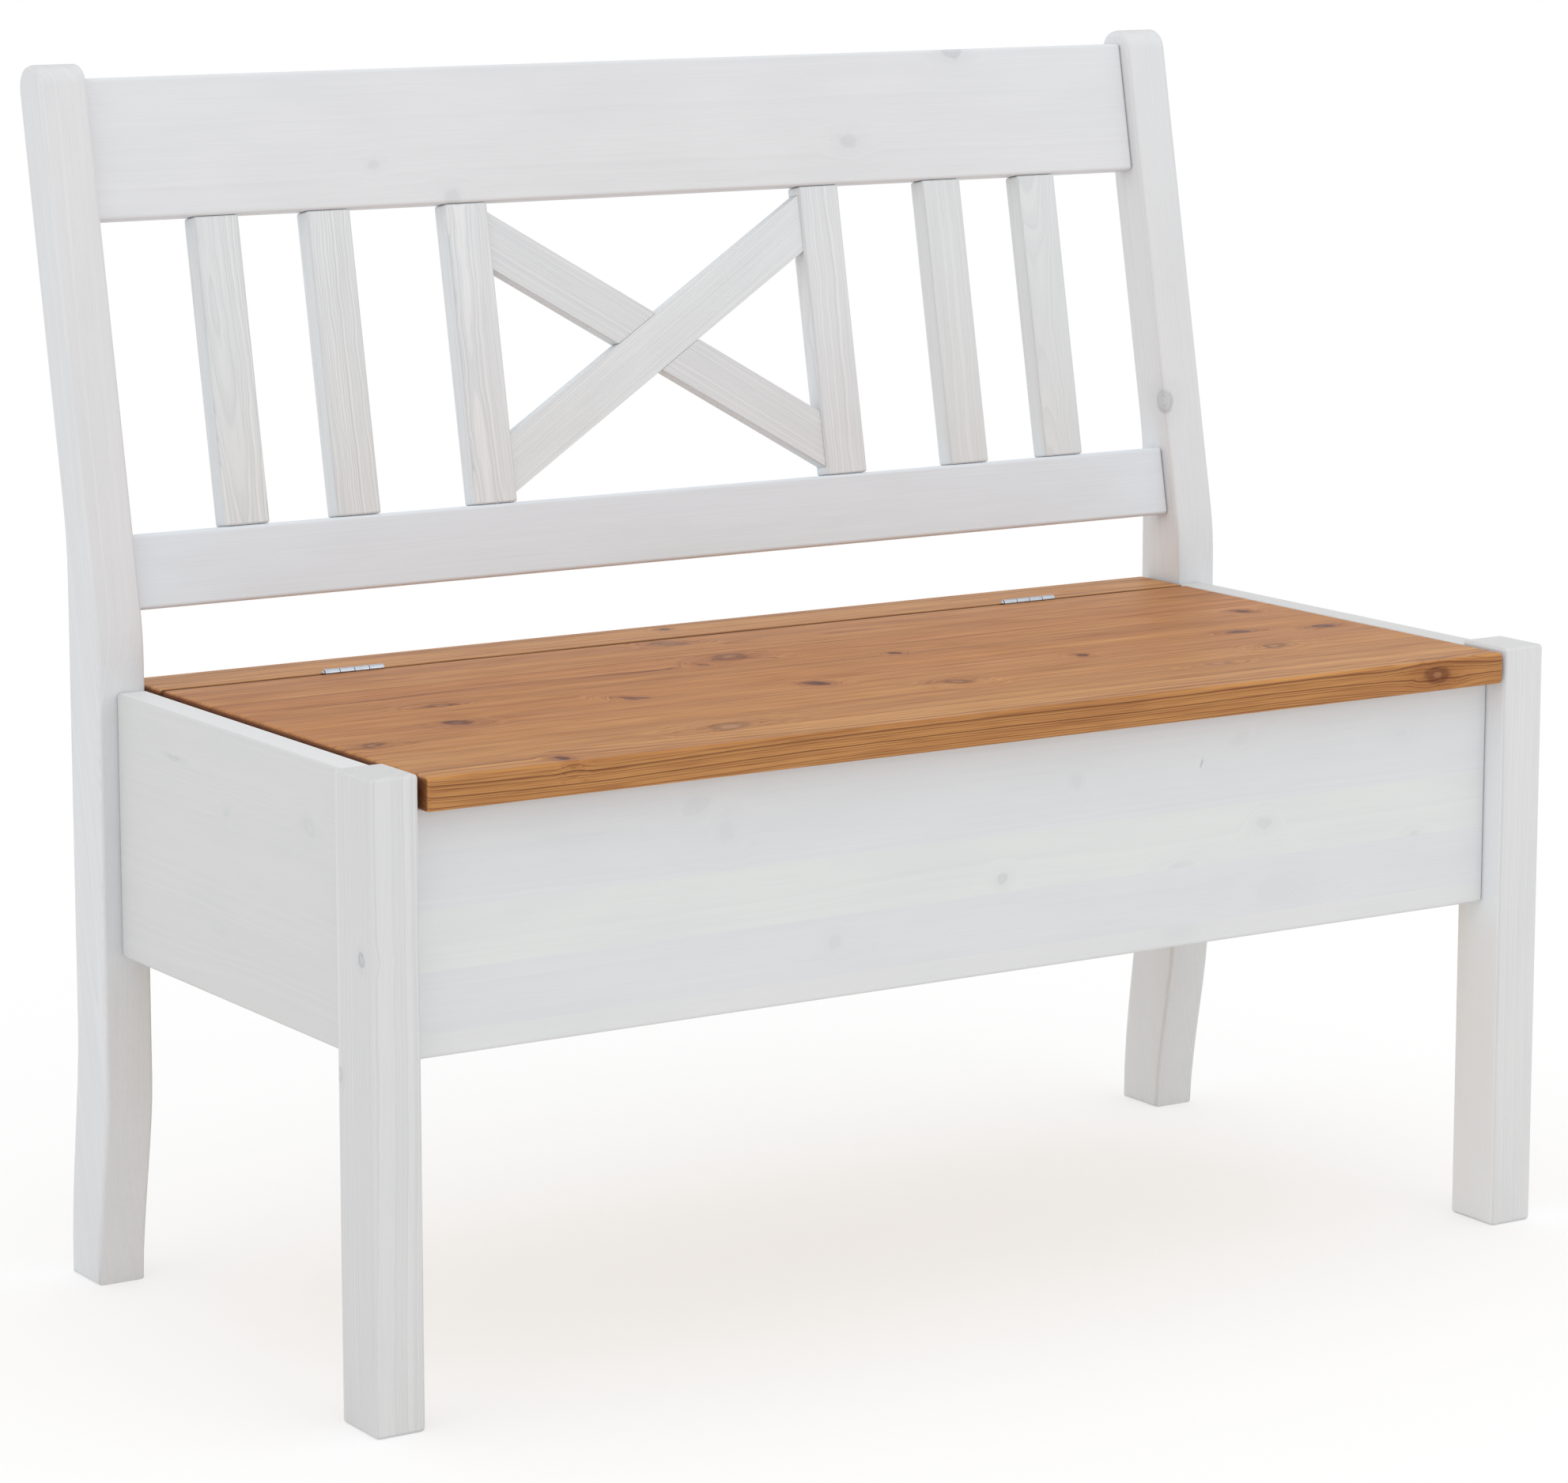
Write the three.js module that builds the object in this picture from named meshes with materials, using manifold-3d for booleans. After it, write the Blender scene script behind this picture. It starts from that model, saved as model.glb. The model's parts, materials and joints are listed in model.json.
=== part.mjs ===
// Settle bench: a pine seat box with a hinged lid, on square front legs and
// sawn back posts that lean back above the seat and carry a slatted backrest.
//
// Millimetres, +Z up, +X across the bench, the front of the bench towards -Y.
// While the pieces are made, y is zero on the front faces of the front legs.
// At the end the whole bench is moved so that the origin lies on the floor,
// under the middle of its bounding box.

import * as THREE from 'three';
import { RoundedBoxGeometry } from 'three/addons/geometries/RoundedBoxGeometry.js';
import { mergeVertices } from 'three/addons/utils/BufferGeometryUtils.js';
import Module from 'manifold-3d';

const wasm = await Module();
wasm.setup();

// Fits and eased edges

const JOINT_GAP = 0.2; // air between glued or seated faces
const CUT_OVERRUN = 4; // how far a cutting shape runs out past the face it opens
const EDGE_RADIUS = 3; // hand-eased arrises of the painted boards
const SLAT_EDGE_RADIUS = 2;
const BATTEN_EDGE_RADIUS = 1.5;
const EDGE_STEPS = 2;
const SMALL_EDGE_STEPS = 1;

// Front legs and the box between legs and posts

const OVERALL_WIDTH = 1018;
const SEAT_HEIGHT = 452.5;
const LEG_WIDTH = 38;
const LEG_DEPTH = 50;
const LEG_RISE = 2.5; // above the seat
const BOX_BOTTOM = 254; // height of the lower edges of the box panels
const SIDE_PANEL_THICKNESS = 24;
const SIDE_PANEL_DROP = 1.5; // below the seat
const END_PANEL_THICKNESS = 24; // front and back panel
const FRONT_PANEL_RECESS = 20; // behind the front faces of the legs
const BACK_PANEL_RECESS = 7; // in front of the back faces of the posts
const TONGUE_THICKNESS = 8;
const TONGUE_LENGTH = 10;

// Back posts

const POST_WIDTH = LEG_WIDTH; // sawn from the same stock as the legs
const POST_FRONT = 414; // front face of the upright stretch
const POST_DEPTH = 51;
const POST_LEAN_RISE = 39.5; // from the seat to where the front face starts to lean
const POST_LEAN = THREE.MathUtils.degToRad( 11 );
const POST_LEANING_DEPTH = 37.5; // square to the leaning faces
const POST_NOSE_RISE = 11.5; // from the crest rail to the end of the nose
const POST_NOSE_FLAT = 3.5; // between the two arcs of the nose
const POST_FRONT_BEND_RADIUS = 230;
const POST_BACK_BEND_RADIUS = 300;
const FOOT_FRONT_KICK = 22; // how far the foot runs back at the floor
const FOOT_FRONT_BEND = 160; // height at which that starts
const FOOT_BACK_KICK = 17.5;
const FOOT_BACK_BEND = 195;
const FOOT_UPPER_SHARE = 0.72; // handles of the two foot curves
const FOOT_LOWER_SHARE = 0.37;
const FOOT_FRONT_SWELL_SHARE = 0.86;
const FOOT_BACK_SWELL_SHARE = 1.09;
const CURVE_STEPS = 8;

// Backrest, measured up the leaning front faces of the posts

const RAIL_THICKNESS = 20;
const RAIL_RECESS = 10; // behind the front faces of the posts
const RAIL_TENON_LENGTH = 18;
const RAIL_TENON_THICKNESS = 10;
const RAIL_TENON_SHOULDER = 9; // above and below the tenon
const LOWER_RAIL_START = 18.5;
const LOWER_RAIL_HEIGHT = 55.5;
const CREST_RAIL_HEIGHT = 105;
const SLAT_SPAN = 231; // clear height between the rails
const SLAT_WIDTH = 37;
const SLAT_THICKNESS = 18;
const SLAT_TENON_LENGTH = 12;
const SLAT_TENON_THICKNESS = 8;
const SLAT_TENON_SHOULDER = 5;
const UPRIGHT_SHARE = 0.341; // places across, as shares of half the clear width
const INNER_SLAT_SHARE = 0.592;
const OUTER_SLAT_SHARE = 0.791;
const BRACE_WIDTH = 38;
const BRACE_THICKNESS = 12;
const BRACE_CORNER_GAP = 7; // from the rails to the corners of the brace
const BRACE_HOUSING = 4; // how deep its ends sit in the uprights

// Seat

const LID_THICKNESS = 24;
const LID_OVERHANG = 3.6; // in front of the legs
const LID_END_GAP = 4; // from each leg
const LID_EDGE_RADIUS = 3.5;
const STRIP_OVERHANG = 16; // from the posts forward to the hinge line
const SEAM_GAP = 1.6; // between the lid and the strip behind it
const CLEAT_WIDTH = 40;
const CLEAT_THICKNESS = 20;
const CLEAT_SHARE = 0.53; // its place across, as a share of half the clear width
const CLEAT_FRONT_GAP = 18; // behind the front panel
const CLEAT_BACK_GAP = 16; // in front of the hinge line

// Floor and corners of the box

const LEDGER_SIZE = 20;
const LEDGER_RAISE = 2; // above the lower edges of the panels
const BOTTOM_THICKNESS = 9;
const BOTTOM_GAP = 1; // round the board
const CORNER_BATTEN_SIZE = 28;
const CORNER_BATTEN_DROP = 4; // the front ones stop short of the lid

// Hinges

const HINGE_LENGTH = 50;
const HINGE_SHARE = 0.654; // its place across, as a share of half the clear width
const HINGE_AXIS_RAISE = 0.5; // above the seat
const LEAF_THICKNESS = 1.2;
const LEAF_EDGE_GAP = 4.5; // from the leaf to the underside of the lid
const LEAF_PLAY = 0.3; // between the two leaves when the lid is down
const KNUCKLE_RADIUS = 2.7;
const KNUCKLE_PLAY = 0.3;
const KNUCKLE_COUNT = 5;
const PIN_RADIUS = 1.2;
const PIN_HEAD_RADIUS = 1.9;
const PIN_HEAD_LENGTH = 0.8;
const PIN_CLEARANCE = 0.3;
const ROUND_STEPS = 14;

// Screws and dowels

const SCREW_SHANK_RADIUS = 1.4;
const SCREW_HEAD_RADIUS = 2.8;
const SCREW_HEAD_HEIGHT = 1.1;
const SCREW_TIP_LENGTH = 3;
const SCREW_CLEARANCE = 0.25;
const HINGE_SCREW_LENGTH = 16;
const HINGE_SCREW_SPACING = 26;
const HINGE_SCREW_SHARE = 0.55; // of the way down the leaf
const CLEAT_SCREW_BITE = 15; // how far it runs into the lid
const CLEAT_SCREW_INSET = 50; // from the ends of the cleat
const DOWEL_RADIUS = 4;
const DOWEL_END_WALL = 2; // wood left between a dowel and the panel groove
const DOWEL_CHAMFER = 1;
const DOWEL_CLEARANCE = 0.25;
const DOWEL_HEIGHT_SHARES = [ 0.25, 0.75 ]; // of the height of the side panel
const FASTENER_STEPS = 10;

// Sizes that follow

const HALF_WIDTH = OVERALL_WIDTH / 2;
const INNER_HALF_WIDTH = HALF_WIDTH - LEG_WIDTH;
const LEG_CENTRE = HALF_WIDTH - LEG_WIDTH / 2;
const LEG_HEIGHT = SEAT_HEIGHT + LEG_RISE;
const SIDE_PANEL_CENTRE = INNER_HALF_WIDTH + SIDE_PANEL_THICKNESS / 2;
const SIDE_PANEL_HEIGHT = SEAT_HEIGHT - SIDE_PANEL_DROP - BOX_BOTTOM;
const FRONT_PANEL_BACK = FRONT_PANEL_RECESS + END_PANEL_THICKNESS;
const POST_BACK = POST_FRONT + POST_DEPTH;
const BACK_PANEL_BACK = POST_BACK - BACK_PANEL_RECESS; // and the back of the seat strip
const BACK_PANEL_FRONT = BACK_PANEL_BACK - END_PANEL_THICKNESS;
const LID_UNDERSIDE = SEAT_HEIGHT - LID_THICKNESS;
const LID_LENGTH = 2 * ( INNER_HALF_WIDTH - LID_END_GAP );
const SEAM = POST_FRONT - STRIP_OVERHANG; // from the front of the legs to the hinge line
const CLEAT_FRONT = FRONT_PANEL_BACK + CLEAT_FRONT_GAP;
const CLEAT_LENGTH = SEAM - CLEAT_BACK_GAP - CLEAT_FRONT;
const LEDGER_BOTTOM = BOX_BOTTOM + LEDGER_RAISE;
const BOTTOM_UNDERSIDE = LEDGER_BOTTOM + LEDGER_SIZE + JOINT_GAP;
const BOTTOM_TOP = BOTTOM_UNDERSIDE + BOTTOM_THICKNESS;
const HINGE_HEIGHT = SEAT_HEIGHT + HINGE_AXIS_RAISE;
const LEAF_HEIGHT = LID_THICKNESS + HINGE_AXIS_RAISE - LEAF_EDGE_GAP;
const POST_LEAN_HEIGHT = SEAT_HEIGHT + POST_LEAN_RISE;
const SLAT_START = LOWER_RAIL_START + LOWER_RAIL_HEIGHT;
const SLAT_MIDDLE = SLAT_START + SLAT_SPAN / 2;
const CREST_RAIL_START = SLAT_START + SLAT_SPAN;
const POST_LEANING_LENGTH = CREST_RAIL_START + CREST_RAIL_HEIGHT + POST_NOSE_RISE;
const POST_NOSE_RADIUS = ( POST_LEANING_DEPTH - POST_NOSE_FLAT ) / 2;
const RAIL_MIDDLE = RAIL_RECESS + RAIL_THICKNESS / 2;
const UPRIGHT_CENTRE = UPRIGHT_SHARE * INNER_HALF_WIDTH;
const FRONT_GROOVE_BACK = FRONT_PANEL_RECESS + ( END_PANEL_THICKNESS + TONGUE_THICKNESS ) / 2;
const DOWEL_LENGTH = 2 * ( LEG_DEPTH - FRONT_GROOVE_BACK - DOWEL_END_WALL );

const SIDES = [ [ 'left', - 1 ], [ 'right', 1 ] ];

const paintedPine = new THREE.MeshStandardMaterial( { color: 0xd9dadc, roughness: 0.55, metalness: 0 } );
const rawPine = new THREE.MeshStandardMaterial( { color: 0xd9b98c, roughness: 0.7, metalness: 0 } );
const oiledPine = new THREE.MeshStandardMaterial( { color: 0xb9794c, roughness: 0.45, metalness: 0 } );
const zincSteel = new THREE.MeshStandardMaterial( { color: 0xb9bcc0, roughness: 0.35, metalness: 1 } );

const bench = new THREE.Group();

// The backrest group lies in the front faces of the leaning posts.
const backrest = new THREE.Group();
backrest.position.set( 0, POST_FRONT, POST_LEAN_HEIGHT );
backrest.rotation.x = - POST_LEAN;
bench.add( backrest );

// Turns a closed geometry into a solid that can be joined and cut.
function toSolid( geometry, matrix = new THREE.Matrix4() ) {

	const bare = geometry.clone();
	bare.deleteAttribute( 'normal' );
	bare.deleteAttribute( 'uv' );
	const closed = mergeVertices( bare ).applyMatrix4( matrix );
	return new wasm.Manifold( new wasm.Mesh( {
		numProp: 3,
		vertProperties: closed.attributes.position.array,
		triVerts: Uint32Array.from( closed.index.array )
	} ) );

}

function toGeometry( solid ) {

	const mesh = solid.getMesh();
	const geometry = new THREE.BufferGeometry();
	geometry.setAttribute( 'position', new THREE.BufferAttribute( mesh.vertProperties, 3 ) );
	geometry.setIndex( new THREE.BufferAttribute( mesh.triVerts, 1 ) );
	geometry.computeVertexNormals();
	return geometry;

}

function addPiece( parent, name, geometry, material, x, y, z ) {

	const piece = new THREE.Mesh( geometry, material );
	piece.name = name;
	piece.position.set( x, y, z );
	parent.add( piece );
	piece.updateWorldMatrix( true, false );
	return piece;

}

// A shape that only joins or cuts others: it keeps its place but leaves the bench.
function makeTool( parent, geometry, x, y, z ) {

	const tool = addPiece( parent, 'tool', geometry, undefined, x, y, z );
	parent.remove( tool );
	return tool;

}

function boxTool( parent, width, depth, height, x, y, z ) {

	return makeTool( parent, new THREE.BoxGeometry( width, depth, height ), x, y, z );

}

function reshape( piece, tool, operation ) {

	const toPiece = piece.matrixWorld.clone().invert().multiply( tool.matrixWorld );
	const solid = toSolid( piece.geometry )[ operation ]( toSolid( tool.geometry, toPiece ) );
	piece.geometry = toGeometry( solid );

}

function cut( piece, tool ) {

	reshape( piece, tool, 'subtract' );

}

function join( piece, tool ) {

	reshape( piece, tool, 'add' );

}

function easedBox( width, depth, height, radius = EDGE_RADIUS, steps = EDGE_STEPS ) {

	return new RoundedBoxGeometry( width, depth, height, steps, radius );

}

function batten( width, depth, height ) {

	return easedBox( width, depth, height, BATTEN_EDGE_RADIUS, SMALL_EDGE_STEPS );

}

// Turns a geometry so that its own x, y and z run along world y, z and x.
function alongX( geometry ) {

	const turn = new THREE.Matrix4().makeBasis(
		new THREE.Vector3( 0, 1, 0 ),
		new THREE.Vector3( 0, 0, 1 ),
		new THREE.Vector3( 1, 0, 0 )
	);
	return geometry.applyMatrix4( turn );

}

// Front legs

function addFrontLegs() {

	return SIDES.map( ( [ side, sign ] ) => addPiece(
		bench, `front_leg_${ side }`, easedBox( LEG_WIDTH, LEG_DEPTH, LEG_HEIGHT ), paintedPine,
		sign * LEG_CENTRE, LEG_DEPTH / 2, LEG_HEIGHT / 2
	) );

}

// Back posts: a foot that kicks back, an upright stretch and a leaning
// stretch with a round nose, drawn in y and z and sawn across x

function leaningPoint( depth, length ) {

	return new THREE.Vector2(
		POST_FRONT + depth * Math.cos( POST_LEAN ) + length * Math.sin( POST_LEAN ),
		POST_LEAN_HEIGHT - depth * Math.sin( POST_LEAN ) + length * Math.cos( POST_LEAN )
	);

}

// Rounds the corner where an upright face meets a leaning one.
function bendPoints( corner, radius, order ) {

	const reach = radius * Math.tan( POST_LEAN / 2 );
	const below = new THREE.Vector2( corner.x, corner.y - reach );
	const above = new THREE.Vector2(
		corner.x + reach * Math.sin( POST_LEAN ),
		corner.y + reach * Math.cos( POST_LEAN )
	);
	const curve = new THREE.QuadraticBezierCurve( below, corner, above );
	const points = curve.getPoints( CURVE_STEPS / 2 );
	return order < 0 ? points.reverse() : points;

}

function footCurve( face, kick, bend, swellShare ) {

	return new THREE.CubicBezierCurve(
		new THREE.Vector2( face + kick, 0 ),
		new THREE.Vector2( face + kick * swellShare, bend * FOOT_LOWER_SHARE ),
		new THREE.Vector2( face, bend * FOOT_UPPER_SHARE ),
		new THREE.Vector2( face, bend )
	).getPoints( CURVE_STEPS );

}

function nosePoints( centreDepth, startAngle, endAngle ) {

	const centre = leaningPoint( centreDepth, POST_LEANING_LENGTH - POST_NOSE_RADIUS );
	const points = [];

	for ( let step = 0; step <= CURVE_STEPS; step ++ ) {

		const angle = THREE.MathUtils.lerp( startAngle, endAngle, step / CURVE_STEPS ) - POST_LEAN;
		points.push( new THREE.Vector2(
			centre.x + POST_NOSE_RADIUS * Math.cos( angle ),
			centre.y + POST_NOSE_RADIUS * Math.sin( angle )
		) );

	}

	return points;

}

function postOutline() {

	const frontCorner = new THREE.Vector2( POST_FRONT, POST_LEAN_HEIGHT );
	const extraDepth = POST_DEPTH - POST_LEANING_DEPTH / Math.cos( POST_LEAN );
	const backCorner = new THREE.Vector2( POST_BACK, POST_LEAN_HEIGHT + extraDepth / Math.tan( POST_LEAN ) );
	return [
		...footCurve( POST_BACK, FOOT_BACK_KICK, FOOT_BACK_BEND, FOOT_BACK_SWELL_SHARE ),
		...bendPoints( backCorner, POST_BACK_BEND_RADIUS, 1 ),
		...nosePoints( POST_LEANING_DEPTH - POST_NOSE_RADIUS, 0, Math.PI / 2 ),
		...nosePoints( POST_NOSE_RADIUS, Math.PI / 2, Math.PI ),
		...bendPoints( frontCorner, POST_FRONT_BEND_RADIUS, - 1 ),
		...footCurve( POST_FRONT, FOOT_FRONT_KICK, FOOT_FRONT_BEND, FOOT_FRONT_SWELL_SHARE ).reverse()
	];

}

function addBackPosts() {

	return SIDES.map( ( [ side, sign ] ) => {

		const geometry = new THREE.ExtrudeGeometry( new THREE.Shape( postOutline() ), {
			depth: POST_WIDTH - 2 * EDGE_RADIUS,
			bevelSize: EDGE_RADIUS,
			bevelOffset: - EDGE_RADIUS,
			bevelThickness: EDGE_RADIUS,
			bevelSegments: EDGE_STEPS
		} );
		geometry.translate( 0, 0, EDGE_RADIUS - POST_WIDTH / 2 );
		return addPiece(
			bench, `back_post_${ side }`, alongX( geometry ), paintedPine,
			sign * ( HALF_WIDTH - POST_WIDTH / 2 ), 0, 0
		);

	} );

}

// Box panels: the side panels butt against legs and posts on dowels, the
// front and back panels have tongues that slide into grooves

function dowelGeometry( radius, length, chamfer ) {

	return new THREE.LatheGeometry( [
		new THREE.Vector2( 0, - length / 2 ),
		new THREE.Vector2( radius - chamfer, - length / 2 ),
		new THREE.Vector2( radius, chamfer - length / 2 ),
		new THREE.Vector2( radius, length / 2 - chamfer ),
		new THREE.Vector2( radius - chamfer, length / 2 ),
		new THREE.Vector2( 0, length / 2 )
	], FASTENER_STEPS );

}

function addSidePanels( legs, posts ) {

	const length = POST_FRONT - LEG_DEPTH - 2 * JOINT_GAP;
	const middle = ( POST_FRONT + LEG_DEPTH ) / 2;

	SIDES.forEach( ( [ side, sign ], index ) => {

		const x = sign * SIDE_PANEL_CENTRE;
		const panel = addPiece(
			bench, `side_panel_${ side }`, easedBox( SIDE_PANEL_THICKNESS, length, SIDE_PANEL_HEIGHT ),
			paintedPine, x, middle, BOX_BOTTOM + SIDE_PANEL_HEIGHT / 2
		);
		const ends = [ [ 'front', LEG_DEPTH, legs[ index ] ], [ 'back', POST_FRONT, posts[ index ] ] ];

		for ( const [ end, y, neighbour ] of ends ) {

			DOWEL_HEIGHT_SHARES.forEach( ( share, level ) => {

				const z = BOX_BOTTOM + share * SIDE_PANEL_HEIGHT;
				const bore = makeTool( bench, dowelGeometry(
					DOWEL_RADIUS + DOWEL_CLEARANCE, DOWEL_LENGTH + 2 * DOWEL_CLEARANCE, DOWEL_CHAMFER
				), x, y, z );
				cut( panel, bore );
				cut( neighbour, bore );
				addPiece(
					bench, `panel_dowel_${ end }_${ side }_${ level + 1 }`,
					dowelGeometry( DOWEL_RADIUS, DOWEL_LENGTH, DOWEL_CHAMFER ), rawPine, x, y, z
				);

			} );

		}

	} );

}

function addTonguedPanel( name, front, uprights ) {

	const y = front + END_PANEL_THICKNESS / 2;
	const height = LID_UNDERSIDE - JOINT_GAP - BOX_BOTTOM;
	const z = BOX_BOTTOM + height / 2;
	const panel = addPiece(
		bench, name, easedBox( 2 * ( INNER_HALF_WIDTH - JOINT_GAP ), END_PANEL_THICKNESS, height ),
		paintedPine, 0, y, z
	);
	const tongueHeight = height - 2 * EDGE_RADIUS;

	SIDES.forEach( ( [ , sign ], index ) => {

		const x = sign * INNER_HALF_WIDTH;
		join( panel, boxTool( bench, 2 * TONGUE_LENGTH, TONGUE_THICKNESS, tongueHeight, x, y, z ) );
		cut( uprights[ index ], boxTool(
			bench, 2 * ( TONGUE_LENGTH + JOINT_GAP ), TONGUE_THICKNESS + 2 * JOINT_GAP,
			tongueHeight + 2 * JOINT_GAP, x, y, z
		) );

	} );

}

// Floor of the box on four ledgers, and battens in its corners

function addBoxFloor() {

	const sideX = INNER_HALF_WIDTH - JOINT_GAP - LEDGER_SIZE / 2;
	const frontY = FRONT_PANEL_BACK + JOINT_GAP + LEDGER_SIZE / 2;
	const backY = BACK_PANEL_FRONT - JOINT_GAP - LEDGER_SIZE / 2;
	const z = LEDGER_BOTTOM + LEDGER_SIZE / 2;
	const acrossLength = 2 * ( INNER_HALF_WIDTH - JOINT_GAP );
	const sideLength = backY - frontY - LEDGER_SIZE - 2 * JOINT_GAP;
	const middle = ( frontY + backY ) / 2;

	for ( const [ end, y ] of [ [ 'front', frontY ], [ 'back', backY ] ] ) {

		addPiece( bench, `ledger_${ end }`, batten( acrossLength, LEDGER_SIZE, LEDGER_SIZE ), rawPine, 0, y, z );

	}

	for ( const [ side, sign ] of SIDES ) {

		addPiece(
			bench, `ledger_${ side }`, batten( LEDGER_SIZE, sideLength, LEDGER_SIZE ), rawPine,
			sign * sideX, middle, z
		);

	}

	const width = 2 * ( INNER_HALF_WIDTH - BOTTOM_GAP );
	const depth = BACK_PANEL_FRONT - FRONT_PANEL_BACK - 2 * BOTTOM_GAP;
	addPiece(
		bench, 'bottom_board', new THREE.BoxGeometry( width, depth, BOTTOM_THICKNESS ), rawPine,
		0, middle, BOTTOM_UNDERSIDE + BOTTOM_THICKNESS / 2
	);

}

function addCornerBattens() {

	const x = INNER_HALF_WIDTH - JOINT_GAP - CORNER_BATTEN_SIZE / 2;
	const bottom = BOTTOM_TOP + JOINT_GAP;
	const ends = [
		[ 'front', FRONT_PANEL_BACK + JOINT_GAP + CORNER_BATTEN_SIZE / 2, LID_UNDERSIDE - CORNER_BATTEN_DROP ],
		[ 'back', BACK_PANEL_FRONT - JOINT_GAP - CORNER_BATTEN_SIZE / 2, LID_UNDERSIDE - JOINT_GAP ]
	];

	for ( const [ end, y, top ] of ends ) {

		for ( const [ side, sign ] of SIDES ) {

			addPiece(
				bench, `corner_batten_${ end }_${ side }`,
				batten( CORNER_BATTEN_SIZE, CORNER_BATTEN_SIZE, top - bottom ), rawPine,
				sign * x, y, ( top + bottom ) / 2
			);

		}

	}

}

// Backrest: two rails tenoned into the posts, four slats and two uprights
// tenoned into the rails, and a half-lapped cross brace housed in the uprights

function addRail( name, start, height, posts ) {

	const z = start + height / 2;
	const halfLength = INNER_HALF_WIDTH - JOINT_GAP;
	const rail = addPiece(
		backrest, name, easedBox( 2 * halfLength, RAIL_THICKNESS, height ), paintedPine, 0, RAIL_MIDDLE, z
	);
	const tenonHeight = height - 2 * RAIL_TENON_SHOULDER;

	SIDES.forEach( ( [ , sign ], index ) => {

		const x = sign * INNER_HALF_WIDTH;
		join( rail, boxTool(
			backrest, 2 * RAIL_TENON_LENGTH, RAIL_TENON_THICKNESS, tenonHeight, x, RAIL_MIDDLE, z
		) );
		cut( posts[ index ], boxTool(
			backrest, 2 * ( RAIL_TENON_LENGTH + JOINT_GAP ), RAIL_TENON_THICKNESS + 2 * JOINT_GAP,
			tenonHeight + 2 * JOINT_GAP, x, RAIL_MIDDLE, z
		) );

	} );

	return rail;

}

function addSlat( name, x, lowerRail, crestRail ) {

	const slat = addPiece(
		backrest, name,
		easedBox( SLAT_WIDTH, SLAT_THICKNESS, SLAT_SPAN - 2 * JOINT_GAP, SLAT_EDGE_RADIUS, SMALL_EDGE_STEPS ),
		paintedPine, x, RAIL_MIDDLE, SLAT_MIDDLE
	);
	const tenonWidth = SLAT_WIDTH - 2 * SLAT_TENON_SHOULDER;

	for ( const [ rail, z ] of [ [ lowerRail, SLAT_START ], [ crestRail, CREST_RAIL_START ] ] ) {

		join( slat, boxTool(
			backrest, tenonWidth, SLAT_TENON_THICKNESS, 2 * SLAT_TENON_LENGTH, x, RAIL_MIDDLE, z
		) );
		cut( rail, boxTool(
			backrest, tenonWidth + 2 * JOINT_GAP, SLAT_TENON_THICKNESS + 2 * JOINT_GAP,
			2 * ( SLAT_TENON_LENGTH + JOINT_GAP ), x, RAIL_MIDDLE, z
		) );

	}

	return slat;

}

// The brace fills the field between the uprights, corner to corner.
// Its slope follows from the size of the field and its own width.
function braceSlope() {

	const fieldWidth = 2 * UPRIGHT_CENTRE - SLAT_WIDTH;
	const fieldHeight = SLAT_SPAN - 2 * BRACE_CORNER_GAP;
	const diagonal = Math.hypot( fieldWidth, fieldHeight );
	return Math.acos( BRACE_WIDTH / diagonal ) - Math.atan2( fieldWidth, fieldHeight );

}

// A brace bar with plumb ends, drawn in x and z, with y through its thickness.
function braceGeometry( sign, halfLength, extra ) {

	const slope = sign * Math.tan( braceSlope() );
	const halfHeight = BRACE_WIDTH / 2 / Math.cos( braceSlope() ) + extra;
	const outline = [
		new THREE.Vector2( - halfLength, - slope * halfLength - halfHeight ),
		new THREE.Vector2( halfLength, slope * halfLength - halfHeight ),
		new THREE.Vector2( halfLength, slope * halfLength + halfHeight ),
		new THREE.Vector2( - halfLength, - slope * halfLength + halfHeight )
	];
	const thickness = BRACE_THICKNESS + 2 * extra;
	const geometry = new THREE.ExtrudeGeometry( new THREE.Shape( outline ), {
		depth: thickness,
		bevelEnabled: false
	} );
	geometry.translate( 0, 0, - thickness / 2 );
	return geometry.rotateX( Math.PI / 2 );

}

// Each bar loses half its thickness where the other one crosses it.
function addBraces( uprights ) {

	const halfLength = UPRIGHT_CENTRE - SLAT_WIDTH / 2 + BRACE_HOUSING - JOINT_GAP;
	const bars = [ [ 'cross_brace_front', 1 ], [ 'cross_brace_rear', - 1 ] ];

	for ( const [ name, sign ] of bars ) {

		const place = [ 0, RAIL_MIDDLE, SLAT_MIDDLE ];
		const bar = addPiece( backrest, name, braceGeometry( sign, halfLength, 0 ), paintedPine, ...place );
		const lap = makeTool( backrest, braceGeometry( - sign, halfLength, JOINT_GAP ), ...place );
		reshape( lap, boxTool(
			backrest, 2 * halfLength, BRACE_THICKNESS, SLAT_SPAN,
			0, RAIL_MIDDLE + sign * ( BRACE_THICKNESS - JOINT_GAP ) / 2, SLAT_MIDDLE
		), 'intersect' );
		cut( bar, lap );
		const housing = makeTool( backrest, braceGeometry( sign, halfLength + JOINT_GAP, JOINT_GAP ), ...place );
		uprights.forEach( ( upright ) => cut( upright, housing ) );

	}

}

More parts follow.
